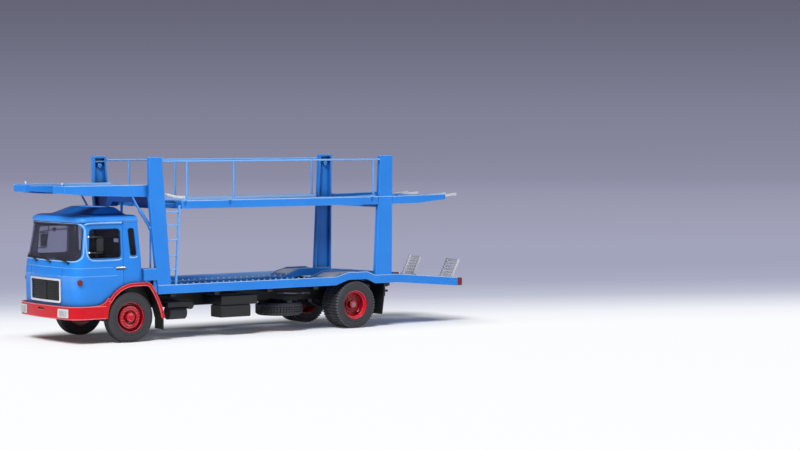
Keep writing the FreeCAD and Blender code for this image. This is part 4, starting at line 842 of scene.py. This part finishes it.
for hand in ("left", "right"):
    settle("front_tyre_tread_" + hand, tyre(axle_end(0, "front_tyre_" + hand), 0),
           tyre_rubber, "front_wheelset", ["front_tyre_" + hand])
    twins = axle_end(REAR_AXLE, "rear_tyres_" + hand)
    places = [(way, twins + Vector((0, way * TWIN_STEP, 0))) for way in (1, -1)]
    rear_tyres = gather([tyre(place, BLOCKS, (way,)) for way, place in places])
    settle("rear_tyre_tread_" + hand, rear_tyres, tyre_rubber, "rear_wheelset",
           ["rear_tyres_" + hand])
    lugs = [shoulder_lugs(place, side) for way, place in places for side in (1, -1)]
    settle("rear_tyre_lugs_" + hand, gather(lugs), lug_highlight_rubber, "rear_wheelset")
settle("spare_tyre_tread", laid_flat(tyre((0, 0, 0), BLOCKS)), tyre_rubber, "root",
       ["spare_tyre"])
print("the twin tyres stand", round(TWIN_STEP, 2), "mm each side of their middle")

# %% [markdown]
# ## Wheels
# The front wheel has a raised ring with a row of small holes round a deep recess and a capped hub.
# The rear one is a twin: a wide flange, a long barrel, and far inside it a disc with nuts and a hub
# that the axle's steel end comes out of. Each is an outline of (outward, radius) spun round the
# axle. The holes are faces of the ring, sunk in.

# %% Wheels
FRONT_WHEEL = [(-2.4, 1.25), (-2.4, 7.88), (2.15, 7.88), (2.35, 7.6), (2.4, 7.2), (2.2, 6.95),
               (0.9, 6.75), (0.55, 6.4), (0.6, 6.05), (1.3, 5.75), (1.75, 5.5), (1.98, 5.15),
               (2.0, 4.9), (1.97, 4.35), (1.9, 3.9), (1.7, 3.45), (1.1, 3.15), (1.0, 2.5),
               (2.2, 2.35), (2.7, 2.1), (2.92, 1.5), (3.0, 0.6), (3.0, 0.0), (0.0, 0.0),
               (0.0, 1.25)]
REAR_WHEEL = [(-6.1, 7.88), (5.85, 7.88), (6.05, 7.62), (6.08, 7.3), (5.95, 6.95), (5.5, 6.72),
              (4.95, 6.6), (4.75, 6.35), (4.6, 6.1), (2.2, 6.0), (1.75, 5.6), (1.65, 3.3),
              (2.1, 3.0), (2.25, 2.1), (4.3, 2.02), (4.55, 1.75), (4.55, 1.22), (-2.85, 1.22),
              (-2.85, 2.6), (0.45, 3.0), (0.45, 6.2), (-0.1, 7.1), (-6.1, 7.1)]
WHEEL_STEPS = 72
NUTS = 8
HOLE_EVERY = 4
HOLE_DEEP = 0.7


def wheel(outline, nut_ring, nut_face, nut_size, holes=None):
    """A wheel about the Y axis that faces +Y, with a ring of nuts and perhaps a ring of holes."""
    shape = spun(outline, WHEEL_STEPS)
    if holes:
        ring = []
        for face in shape.faces:
            centre = face.calc_center_median()
            turn = round(math.atan2(centre.x, centre.z) / (2 * math.pi / WHEEL_STEPS) - 0.5)
            in_ring = holes[0] < math.hypot(centre.x, centre.z) < holes[1] and centre.y > 0
            if in_ring and turn % HOLE_EVERY == 0:
                ring.append(face)
        bmesh.ops.inset_individual(shape, faces=ring, thickness=0.04, depth=-HOLE_DEEP)
    pieces = [shape]
    for step in range(NUTS):
        turn = 2 * math.pi * (step + 0.5) / NUTS
        foot = Vector((math.sin(turn) * nut_ring, nut_face, math.cos(turn) * nut_ring))
        pieces.append(rod(foot, foot + Vector((0, nut_size * 1.3, 0)), nut_size, nut_size * 0.75,
                          sides=6))
    return gather(pieces)


def front_wheel():
    """The front wheel, also used for the spare."""
    return wheel(FRONT_WHEEL, nut_ring=3.78, nut_face=1.75, nut_size=0.26, holes=(4.4, 4.85))


def turned_out(shape, hand):
    """A wheel turned to face its own side."""
    if hand == "right":
        bmesh.ops.scale(shape, vec=(1, -1, 1), verts=shape.verts)
        bmesh.ops.recalc_face_normals(shape, faces=shape.faces)
    return shape


for hand in ("left", "right"):
    front = moved_to(turned_out(front_wheel(), hand), axle_end(0, "front_tyre_" + hand))
    settle("front_wheel_" + hand, front, wheel_enamel, "front_wheelset",
           ["front_rim_" + hand])
    twin = wheel(REAR_WHEEL, nut_ring=4.45, nut_face=1.55, nut_size=0.42)
    twin = moved_to(turned_out(twin, hand), axle_end(REAR_AXLE, "rear_tyres_" + hand))
    settle("rear_wheel_" + hand, twin, wheel_enamel, "rear_wheelset",
           ["rear_rim_" + hand])
settle("spare_wheel", laid_flat(front_wheel()), wheel_enamel, "root",
       ["spare_rim"])
print("five wheels of", WHEEL_STEPS, "steps with", NUTS, "nuts each")

# %% [markdown]
# ## The cab
# Lines on the cab follow its curved sheet. A ray from outside finds the sheet, so a seam or a
# crease can be laid on it point by point. A pressed crease is a thin bead of a paler blue, a painted
# highlight, half sunk in the sheet. The gap behind a door is a thinner dark bead. The same rays find
# the bumper and the decks later on.

# %% Finding a casting's skin
CAB_MIDDLE = 12.0
FAR_OUT = 80.0
OVER_DECKS = 50.0
UP = Vector((0, 0, 1))


def skin_of(node):
    """A casting's surface, for rays to find."""
    copy = merged(node)
    skin = BVHTree.FromBMesh(copy)
    copy.free()
    return skin


def met(skin, start, way, sunk=0.0):
    """The point where a ray meets a skin, sunk a little into it, or None where it misses."""
    hit, normal = skin.ray_cast(Vector(start), Vector(way))[:2]
    return hit and hit - normal * sunk


CAB_SKIN = skin_of("cab_shell")


def on_side(x, z, hand=1, sunk=0.0):
    """The point of the cab's side at this place, sunk a little into it."""
    return met(CAB_SKIN, (x, FAR_OUT * hand, z), (0, -hand, 0), sunk)


def on_front(y, z, sunk=0.0):
    """The point of the cab's front at this place, sunk a little into it."""
    return met(CAB_SKIN, (FAR_OUT, y, z), (-1, 0, 0), sunk)


def level_line(z, start, end, steps, sunk=0.0, skin=CAB_SKIN):
    """A level line round the cab between two directions, in degrees from straight ahead."""
    points = []
    for step in range(steps + 1):
        turn = math.radians(start + (end - start) * step / steps)
        out = Vector((math.cos(turn), math.sin(turn), 0))
        points.append(met(skin, Vector((CAB_MIDDLE, 0, z)) + out * FAR_OUT, -out, sunk))
    return [point for point in points if point]


print("the cab is", round(2 * on_side(10, 36).y, 2), "mm wide at its waist")

# %% [markdown]
# Two level creases run round the cab below the windows. The upper one runs on to the door's rear
# edge. The lower one starts at the grille. They are pressed outward, so a thin bead half sunk in
# the sheet gives them their light upper edge and their shadow, and its paler blue adds a painted
# highlight. The seams are finer: one behind each door, and one down each side of the grille.

# %% Creases and seams
CREASE = 0.16
CREASE_SUNK = 0.55 * CREASE
UPPER_CREASE = 36.5
LOWER_CREASE = 32.5
SEAM = 0.11
DOOR_REAR = 3.6
GRILLE_SEAM = 15.9
creases = [bead(level_line(UPPER_CREASE, -96, 96, 160, CREASE_SUNK), CREASE),
           bead(level_line(LOWER_CREASE, -100, -31, 60, CREASE_SUNK), CREASE),
           bead(level_line(LOWER_CREASE, 31, 100, 60, CREASE_SUNK), CREASE)]
settle("cab_creases", gather(creases), ridge_highlight_enamel)
seams, door_seams = [], []
for hand in (1, -1):
    beside_grille = [on_front(hand * GRILLE_SEAM, 18.9 + step * 2.25) for step in range(9)]
    behind_door = [on_side(DOOR_REAR, 28.5 + step * 2.5, hand) for step in range(12)]
    seams.append(bead(beside_grille, SEAM, around=1))
    door_seams.append(bead(behind_door, SEAM, around=1))
settle("cab_seams", gather(seams), groove_and_shade_enamel)
settle("door_seams", gather(door_seams), groove_and_shade_enamel)
print(len(creases), "creases,", len(seams), "front seams and", len(door_seams), "door seams")

# %% [markdown]
# The seals and ridges follow the window openings. Their line is read from the casting: a closed
# run of sharp edges that reaches high enough and lies on the cab's outer face. The edges are taken
# in the order of their numbers, so that the line starts at the same point each time.

# %% Window openings
OPENING_ANGLE = math.radians(50)
WINDOW_TOP = 50.0
OUTER_FACE = 51.5


def sharp_loops(node):
    """Closed lines of sharp edges on a casting, always found in the same order."""
    shape = merged(node)
    shape.edges.index_update()
    left = [edge for edge in shape.edges
            if len(edge.link_faces) == 2 and edge.calc_face_angle() > OPENING_ANGLE]
    loops = []
    while left:
        start, here = left.pop(0).verts
        run = [start, here]
        while here is not start:
            ahead = [edge for edge in here.link_edges if edge in left]
            if not ahead:
                break
            follow = min(ahead, key=lambda edge: edge.index)
            left.remove(follow)
            here = follow.other_vert(here)
            run.append(here)
        if here is start:
            loops.append([vert.co.copy() for vert in run[:-1]])
    shape.free()
    return loops


def is_side_window(loop):
    """Whether a line goes round a side window on the cab's outer face."""
    across = [point.y for point in loop]
    return (max(point.z for point in loop) > WINDOW_TOP
            and abs(min(across) + max(across)) > OUTER_FACE)


loops = sharp_loops("cab_shell")
window_loops = [loop for loop in loops if is_side_window(loop)]
print(len(loops), "sharp outlines on the cab, of which", len(window_loops), "are side windows")

# %% [markdown]
# Each window gets a black rubber seal along its edge. The windscreen wraps round the corners, so
# its outline is drawn again from the pane's own size and laid on the cab.

# %% Rubber seals
SEAL = 0.24
SCREEN_TOP_HALF = 24.6
SCREEN_CORNER = 3.4
SCREEN_GAP = 1.2
screen_low, screen_high = reach("windscreen")


def rounded_outline(corners, radius, steps=7):
    """A closed outline through 2D corners, with each corner rounded."""
    line = []
    for place, corner in enumerate(corners):
        corner = Vector(corner)
        before = (Vector(corners[place - 1]) - corner).normalized()
        after = (Vector(corners[(place + 1) % len(corners)]) - corner).normalized()
        for step in range(steps + 1):
            share = step / steps
            line.append(corner + before * radius * (1 - share) ** 2 + after * radius * share ** 2)
    return line


def divided(line, gap):
    """A closed 2D line with extra points, so that it can be laid on a curved sheet."""
    points = []
    for start, end in zip(line, line[1:] + line[:1]):
        count = max(1, math.ceil((end - start).length / gap))
        points += [start.lerp(end, step / count) for step in range(count)]
    return points


def screen_line(spread, sunk=0.0):
    """The windscreen's outline on the cab, spread outward."""
    low_half, top_half = screen_high.y + 0.25 + spread, SCREEN_TOP_HALF + spread
    bottom, top = screen_low.z - spread, screen_high.z + spread
    corners = [(-low_half, bottom), (low_half, bottom), (top_half, top), (-top_half, top)]
    line = divided(rounded_outline(corners, SCREEN_CORNER), SCREEN_GAP)
    return [on_front(y, z, sunk) for y, z in line]


seals = [bead(loop, SEAL, closed=True) for loop in window_loops]
seals.append(bead(screen_line(0.1), SEAL, closed=True))
settle("window_seals", gather(seals), trim_plastic)
print(len(seals), "rubber seals")

# %% [markdown]
# The sheet is pressed into rounded ridges that catch the light: one all round the windscreen, one
# in front of and below each door window, and a short one below each quarter window. A brow runs
# over the windscreen and a gutter over each door. Each line on the side is given with its bead's
# radius, how far it is sunk, and its (x, z) points.

# %% Pressed ridges round the windows
RIDGE = 0.46
RIDGE_SUNK = 0.5 * RIDGE
BROW = 0.32
BROW_HIGH = 57.9
SIDE_RIDGES = (
    (RIDGE, RIDGE_SUNK, ((23.3, 54.5), (23.4, 51), (23.4, 48), (23.3, 45), (22.9, 42.6),
                         (21.8, 40.9), (20.2, 40.1), (18.2, 39.9), (14, 39.9), (9, 39.9),
                         (5.6, 40.0), (4.6, 40.6))),
    (RIDGE, RIDGE_SUNK, ((0.2, 41.3), (-0.4, 40.9), (-2.2, 40.8), (-3.4, 40.9), (-4.0, 41.3))),
    (0.38, -0.1, ((23.4, 56.9), (22.6, 57.5), (21.0, 57.7), (14.0, 57.8), (7.0, 57.9),
                  (4.3, 57.8), (3.4, 57.5))),
)
ridges = [bead(screen_line(0.62, RIDGE_SUNK), RIDGE, closed=True),
          bead(level_line(BROW_HIGH, -60, 60, 60, 0.15), BROW)]
for hand in (1, -1):
    for radius, sunk, line in SIDE_RIDGES:
        ridges.append(bead([on_side(x, z, hand, sunk) for x, z in line], radius))
# Painted highlight: the ridges take a pale blue.
settle("window_ridges", gather(ridges), sill_highlight_enamel)
print(len(ridges), "pressed ridges")

# %% [markdown]
# Inside, the cab's walls and roof are covered by a dark layer, which is painted shade for the inside
# of the cab. It is made from the casting's own inner faces, a hair inward, with a wall of its own. A
# face is an inner one when it looks at the cab's middle, or down from the roof.

# %% Cab lining
LINING = 0.12
LINING_GAP = 0.05
LINING_FOOT, CEILING_FOOT, LINING_TOP = 27, 56.5, 61.5
CEILING_HALF = 24.5
lining = merged("cab_shell")
outer_faces = []
for face in lining.faces:
    centre = face.calc_center_median()
    out_way = Vector((centre.x - CAB_MIDDLE, centre.y, 0)).normalized()
    inward = face.normal.dot(out_way) < -0.35 and LINING_FOOT < centre.z < LINING_TOP
    ceiling = (face.normal.z < -0.5 and CEILING_FOOT < centre.z < LINING_TOP
               and abs(centre.y) < CEILING_HALF)
    if not (inward or ceiling):
        outer_faces.append(face)
bmesh.ops.delete(lining, geom=outer_faces, context="FACES")
for vert in lining.verts:
    vert.co += vert.normal * (LINING + LINING_GAP)
print("the lining follows", len(lining.faces), "inner faces")
bmesh.ops.solidify(lining, geom=lining.faces[:], thickness=LINING)
settle("cab_shade_lining", lining, cabin_plastic)

# %% [markdown]
# A dark sheet hangs inside the rear window and leaves one small gap. It keeps the inside as dark as
# in the picture. It is a sheet of square fields with the middle one left out.

# %% Rear sheet
SHEET_X = -4.5
SHEET_THICK = 0.25
SHEET_ACROSS = (-17.6, 3.0, 7.5, 17.6)
SHEET_UP = (40.6, 46.3, 49.1, 55.4)
# Painted shade: the dark sheet stands in for the shade inside the cab.
shade_sheet = bmesh.new()
fields = [[shade_sheet.verts.new((SHEET_X, y, z)) for z in SHEET_UP] for y in SHEET_ACROSS]
for column in range(3):
    for row in range(3):
        if (column, row) != (1, 1):
            shade_sheet.faces.new((fields[column][row], fields[column + 1][row],
                                  fields[column + 1][row + 1], fields[column][row + 1]))
print("the sheet has", len(shade_sheet.faces), "fields round its gap")
bmesh.ops.solidify(shade_sheet, geom=shade_sheet.faces[:], thickness=SHEET_THICK)
bmesh.ops.recalc_face_normals(shade_sheet, faces=shade_sheet.faces)
settle("rear_shade_sheet", shade_sheet, seat_plastic)

# %% [markdown]
# Three wipers lie on the windscreen. Each is a spindle below the glass, an arm that is lifted a
# little, and a blade along the glass that the arm holds at its middle.

# %% Wipers
SCREEN_LEAN = 0.165
WIPER_FEET = ((-9.6, 38.9), (4.6, 38.9), (20.4, 38.7))
WIPER_REACH = Vector((-12.0, 3.1))
ARM, ARM_LIFT = 0.17, 0.75
BLADE, BLADE_LIFT = 0.2, 0.4
SPINDLE, SPINDLE_TIP = 0.42, 0.34


def over_glass(y, z, lift):
    """A point a little above the windscreen, which leans back above its lower edge."""
    foot = on_front(y, min(z, screen_low.z - 1.2))
    return Vector((foot.x - max(0, z - screen_low.z) * SCREEN_LEAN + lift, y, z))


wipers = []
for y, z in WIPER_FEET:
    foot, knee = on_front(y, z), over_glass(y, z, ARM_LIFT)
    hold = over_glass(y + WIPER_REACH.x * 0.5, z + WIPER_REACH.y * 0.5 + 0.15, ARM_LIFT)
    tip = over_glass(y + WIPER_REACH.x, z + WIPER_REACH.y, BLADE_LIFT)
    heel = over_glass(y + WIPER_REACH.x * 0.08, z + WIPER_REACH.y * 0.08 + 0.45, BLADE_LIFT)
    wipers += [rod(foot, knee, SPINDLE, SPINDLE_TIP), bead([knee, hold], ARM),
               bead([heel, tip], BLADE),
               rod(tip.lerp(heel, 0.48) - Vector((0.15, 0, 0)), hold, BLADE)]
settle("wipers", gather(wipers), trim_plastic)
print(len(WIPER_FEET), "wipers")

# %% [markdown]
# A door handle is a plated bar over a black strip, its painted shadow. Light knobs mark where the
# mirror arms meet the cab. Both stand on the side that a ray finds.

# %% Door handles and mirror knobs
HANDLE_REAR, HANDLE_FRONT = 2.6, 8.0
HANDLE_FOOT, HANDLE_TOP = 36.0, 36.75
KNOB_X, KNOB_HEIGHTS = 22.6, (43.9, 51.4)
handles, painted_shadows, knobs = [], [], []
for hand in (1, -1):
    wall = abs(on_side(5.3, 36.2, hand).y)
    sides = sorted((hand * (wall - 0.1), hand * (wall + 0.55)))
    handles.append(block((HANDLE_REAR, sides[0], HANDLE_FOOT),
                         (HANDLE_FRONT, sides[1], HANDLE_TOP), 0.2))
    sides = sorted((hand * (wall - 0.2), hand * (wall + 0.06)))
    painted_shadows.append(block((HANDLE_REAR + 0.2, sides[0], HANDLE_FOOT - 0.75),
                          (HANDLE_FRONT - 0.2, sides[1], HANDLE_FOOT + 0.1), 0.05))
    for z in KNOB_HEIGHTS:
        start = on_side(KNOB_X, z, hand, 0.1)
        knobs.append(rod(start, start + Vector((-0.7, hand * 0.9, 0)), 0.46, 0.4))
settle("door_handles", gather(handles), plated)
settle("handle_painted_shadows", gather(painted_shadows), trim_plastic)
settle("mirror_knobs", gather(knobs), plated)
print(len(handles), "handles and", len(knobs), "knobs")

# %% [markdown]
# ## The decks
# A row of small pips runs along the inner lip of each lower track, pressed up from the sheet. Rays
# from above find the lip, so that each pip stands on it.

# %% Pips on the lower tracks
PIP_PITCH = 3.5
PIP_START, PIP_END = -24.0, -117.0
PIP_INWARD = 0.5
PIP, PIP_TIP = 0.55, 0.42
PIP_HIGH, PIP_SUNK = 0.8, 0.15
lower_skins = {hand: skin_of("lower_deck_" + hand) for hand in ("left", "right")}
pips = []
for hand, skin in lower_skins.items():
    lip = min(abs(corner.y) for corner in reach("lower_deck_" + hand))
    across = (lip + PIP_INWARD) * (1 if hand == "left" else -1)
    for step in range(int((PIP_START - PIP_END) / PIP_PITCH) + 1):
        foot = met(skin, (PIP_START - step * PIP_PITCH, across, OVER_DECKS), -UP)
        pips.append(rod(foot - UP * PIP_SUNK, foot + UP * PIP_HIGH, PIP, PIP_TIP, sides=10))
# Painted highlight: the pips take the palest blue.
settle("track_pips", gather(pips), pip_highlight_enamel)
print(len(pips), "pips")

# %% [markdown]
# Behind the cab a short stop hangs from the deck's cross-beam, just above the roof. Below the deck
# a thin steel cylinder lies beside the frame with two small unions behind it. Its rods are given
# as their ends' (x, z) and a radius. Three brackets with a light head carry the handrail's posts on
# each side of the upper deck.

# %% Deck stop, cylinder and brackets
CYLINDER_Y = 15.0
CYLINDER = ((-95.7, 18.9, -104.3, 18.6, 0.6), (-92.0, 19.0, -107.5, 18.5, 0.25),
            (-107.6, 18.5, -108.4, 18.4, 0.45), (-111.3, 18.3, -112.1, 18.3, 0.45),
            (-107.5, 18.5, -112.0, 18.3, 0.2))
BRACKETS = (-29.5, -55.3, -141.6)
BRACKET_Y, BRACKET = 28.85, 0.85
STOP_X, STOP_Y = -12.4, -3.0
STOP_TOP, STOP_FOOT = 67.0, 60.6
stop = rod((STOP_X, STOP_Y, STOP_TOP), (STOP_X, STOP_Y, STOP_FOOT), 0.7, 0.6)
# Painted shade: the stop takes the darker blue of the beams under the deck.
settle("deck_stop", stop, cross_shade_enamel)
cylinder = [rod((x, CYLINDER_Y, z), (end_x, CYLINDER_Y, end_z), radius)
            for x, z, end_x, end_z, radius in CYLINDER]
settle("brake_cylinder", gather(cylinder), steel_pin)
# Painted shade on the brackets, in the darker blue, and a painted highlight on their heads, in a paler blue.
brackets, bracket_heads = [], []
for y in (BRACKET_Y, -BRACKET_Y):
    for x in BRACKETS:
        brackets.append(rod((x, y, 67.6), (x, y, 65.0), BRACKET, 0.25, sides=12))
        bracket_heads.append(rod((x, y, 67.5), (x, y, 68.3), BRACKET, 0.6, sides=12))
settle("rail_brackets", gather(brackets), groove_and_shade_enamel)
settle("bracket_heads", gather(bracket_heads), ridge_highlight_enamel)
print("a stop, a cylinder of", len(cylinder), "pieces and", len(brackets), "brackets")

# %% [markdown]
# Each front track ends in a peg that keeps a car's wheel from rolling off. The headlamps' lenses
# are ribbed. Behind the windscreen hangs a mirror on a stem from the roof.

# %% Pegs, lens ribs and the inside mirror
PEG_X, PEG_ACROSS = 33.6, (22.4, -15.3)
PEG_FOOT, PEG_TOP = 75.2, 77.1
RIBS = 6
RIB, RIB_STEP = 0.14, 1.05
MIRROR_X = 24.0
pegs = [rod((PEG_X, y, PEG_FOOT), (PEG_X, y, PEG_TOP), 0.6, 0.48, sides=12)
        for y in PEG_ACROSS]
# Painted highlight: the pegs take the palest blue.
settle("deck_pegs", gather(pegs), pip_highlight_enamel)
lamp_low, lamp_high = reach("headlamps")
ribs = []
for hand in (1, -1):
    for step in range(RIBS):
        y = hand * (lamp_high.y - 1.0 - step * RIB_STEP)
        ends = [(lamp_high.x - 0.02, y, z) for z in (lamp_low.z + 0.6, lamp_high.z - 0.6)]
        ribs.append(bead(ends, RIB))
settle("lens_ribs", gather(ribs), headlamp_glass)
mirror_bar = [(MIRROR_X, -18.7, 52.4), (MIRROR_X, -4.0, 53.8), (MIRROR_X, 10.3, 54.7)]
mirror_stem = [(MIRROR_X, -9.6, 57.2), (MIRROR_X, -10.6, 53.2), (MIRROR_X, -12.1, 47.2)]
inside = [bead(mirror_bar, 0.3), bead(mirror_stem, 0.26),
          block((MIRROR_X - 0.4, -5.3, 52.9), (MIRROR_X + 0.5, -2.9, 54.9), 0.3)]
settle("inside_mirror", gather(inside), trim_plastic)
print(len(pegs), "pegs and", len(ribs), "ribs")

# %% [markdown]
# The red casting gets a painted highlight, a paler red bead, along the rolled lip of each wheel arch
# and along the bumper's upper and lower edges. The arch's line is read from the casting, as the
# points of its outer face that have a second row of points one lip further out. The bumper's lines
# are found by rays from outside, just below its top and just above its underside.

# %% Lips of the red casting
LIP_BEAD = 0.2
LIP_NARROW, LIP_BROAD = 1.2, 1.75
LIP_INSET = 0.25
BUMPER_REAR = 13.5
ARCH_FRONT = 13.0
ARCH_STEP = 0.4
red_copy = merged("front_bumper")
red_points = [vert.co.copy() for vert in red_copy.verts]
red_copy.free()
red_skin = skin_of("front_bumper")
arch_face = max(point.y for point in red_points)
bumper_front = [point.z for point in red_points if point.x > CAB_MIDDLE + 10]
bumper_top, bumper_foot = max(bumper_front), min(bumper_front)


def from_wheel(point):
    """How far a point is from the front wheel's middle, seen from the side."""
    return math.hypot(point.x, point.z - WHEEL_Z)


def arch_line(hand):
    """The inner edge of one arch's outer face, from the bumper round to the rear."""
    face = [point for point in red_points
            if point.y * hand > arch_face - 0.1 and point.z > WHEEL_Z - 4
            and point.x < ARCH_FRONT]
    inner = [point for point in face
             if any(from_wheel(other) - from_wheel(point) > LIP_NARROW
                    and (other - point).length < LIP_BROAD for other in face)]
    inner.sort(key=lambda point: math.atan2(point.z - WHEEL_Z, point.x) % math.tau)
    line = inner[:1]
    for point in inner[1:]:
        if (point - line[-1]).length > ARCH_STEP:
            line.append(point)
    return [point - Vector((0, hand * LIP_BEAD * 0.5, 0)) for point in line]


lips = [bead(arch_line(hand), LIP_BEAD) for hand in (1, -1)]
for z in (bumper_top - LIP_INSET, bumper_foot + LIP_INSET):
    round_front = level_line(z, -110, 110, 120, LIP_BEAD * 0.6, red_skin)
    lips.append(bead([point for point in round_front if point.x > BUMPER_REAR], LIP_BEAD))
settle("red_lip_highlights", gather(lips), red_ridge_highlight_enamel)
print("the arch lip has", len(arch_line(1)), "points, the bumper is",
      round(bumper_top - bumper_foot, 2), "mm high")

# %% [markdown]
# The pressed tread plate on each hump runs down over the upper half of the front slope. It is one
# face laid on the slope and drawn up to a plate.

# %% Tread plates on the slopes
SLOPE_FOOT, SLOPE_HEAD = -118.2, -122.9
SLOPE_INNER, SLOPE_OUTER = 12.7, 26.4
PLATE_SUNK = 0.1
PLATE_THICK = 0.5
slope_plates = []
for hand, skin in lower_skins.items():
    low, high = sorted(y if hand == "left" else -y for y in (SLOPE_INNER, SLOPE_OUTER))
    corners = [(SLOPE_FOOT, low), (SLOPE_HEAD, low), (SLOPE_HEAD, high), (SLOPE_FOOT, high)]
    plate = bmesh.new()
    under = plate.faces.new([plate.verts.new(met(skin, (x, y, OVER_DECKS), -UP) - UP * PLATE_SUNK)
                             for x, y in corners])
    drawn = bmesh.ops.extrude_face_region(plate, geom=[under])["geom"]
    bmesh.ops.translate(plate, vec=UP * PLATE_THICK,
                        verts=[item for item in drawn if isinstance(item, bmesh.types.BMVert)])
    bmesh.ops.recalc_face_normals(plate, faces=plate.faces)
    slope_plates.append(plate)
settle("slope_plates", gather(slope_plates), dull_plate)
print(len(slope_plates), "slope plates")

# %% [markdown]
# A pale bead along the upper outer edge of every track is a painted highlight: the bright line
# along each deck. Its run is read from the casting: the highest point of its outer face at each
# station along it.

# %% Rolled edges of the decks
EDGE_BEAD = 0.17
EDGE_SUNK = 0.1
UPPER_SHARE = 0.4
edge_beads = []
for deck_name in ("front_deck_", "upper_deck_", "lower_deck_"):
    for hand, side in (("left", 1), ("right", -1)):
        deck_copy = merged(deck_name + hand)
        face = max(vert.co.y * side for vert in deck_copy.verts)
        highest = {}
        for vert in deck_copy.verts:
            if vert.co.y * side > face - 0.02:
                station = round(vert.co.x, 1)
                highest[station] = max(highest.get(station, -1.0), vert.co.z)
        deck_copy.free()
        lowest = reach(deck_name + hand)[0].z
        level = lowest + UPPER_SHARE * (max(highest.values()) - lowest)
        run = [Vector((x, side * (face - EDGE_SUNK), highest[x] - EDGE_SUNK))
               for x in sorted(highest) if highest[x] > level]
        edge_beads.append(bead(run, EDGE_BEAD))
settle("deck_edge_highlights", gather(edge_beads), pip_highlight_enamel)
print(len(edge_beads), "rolled edges")
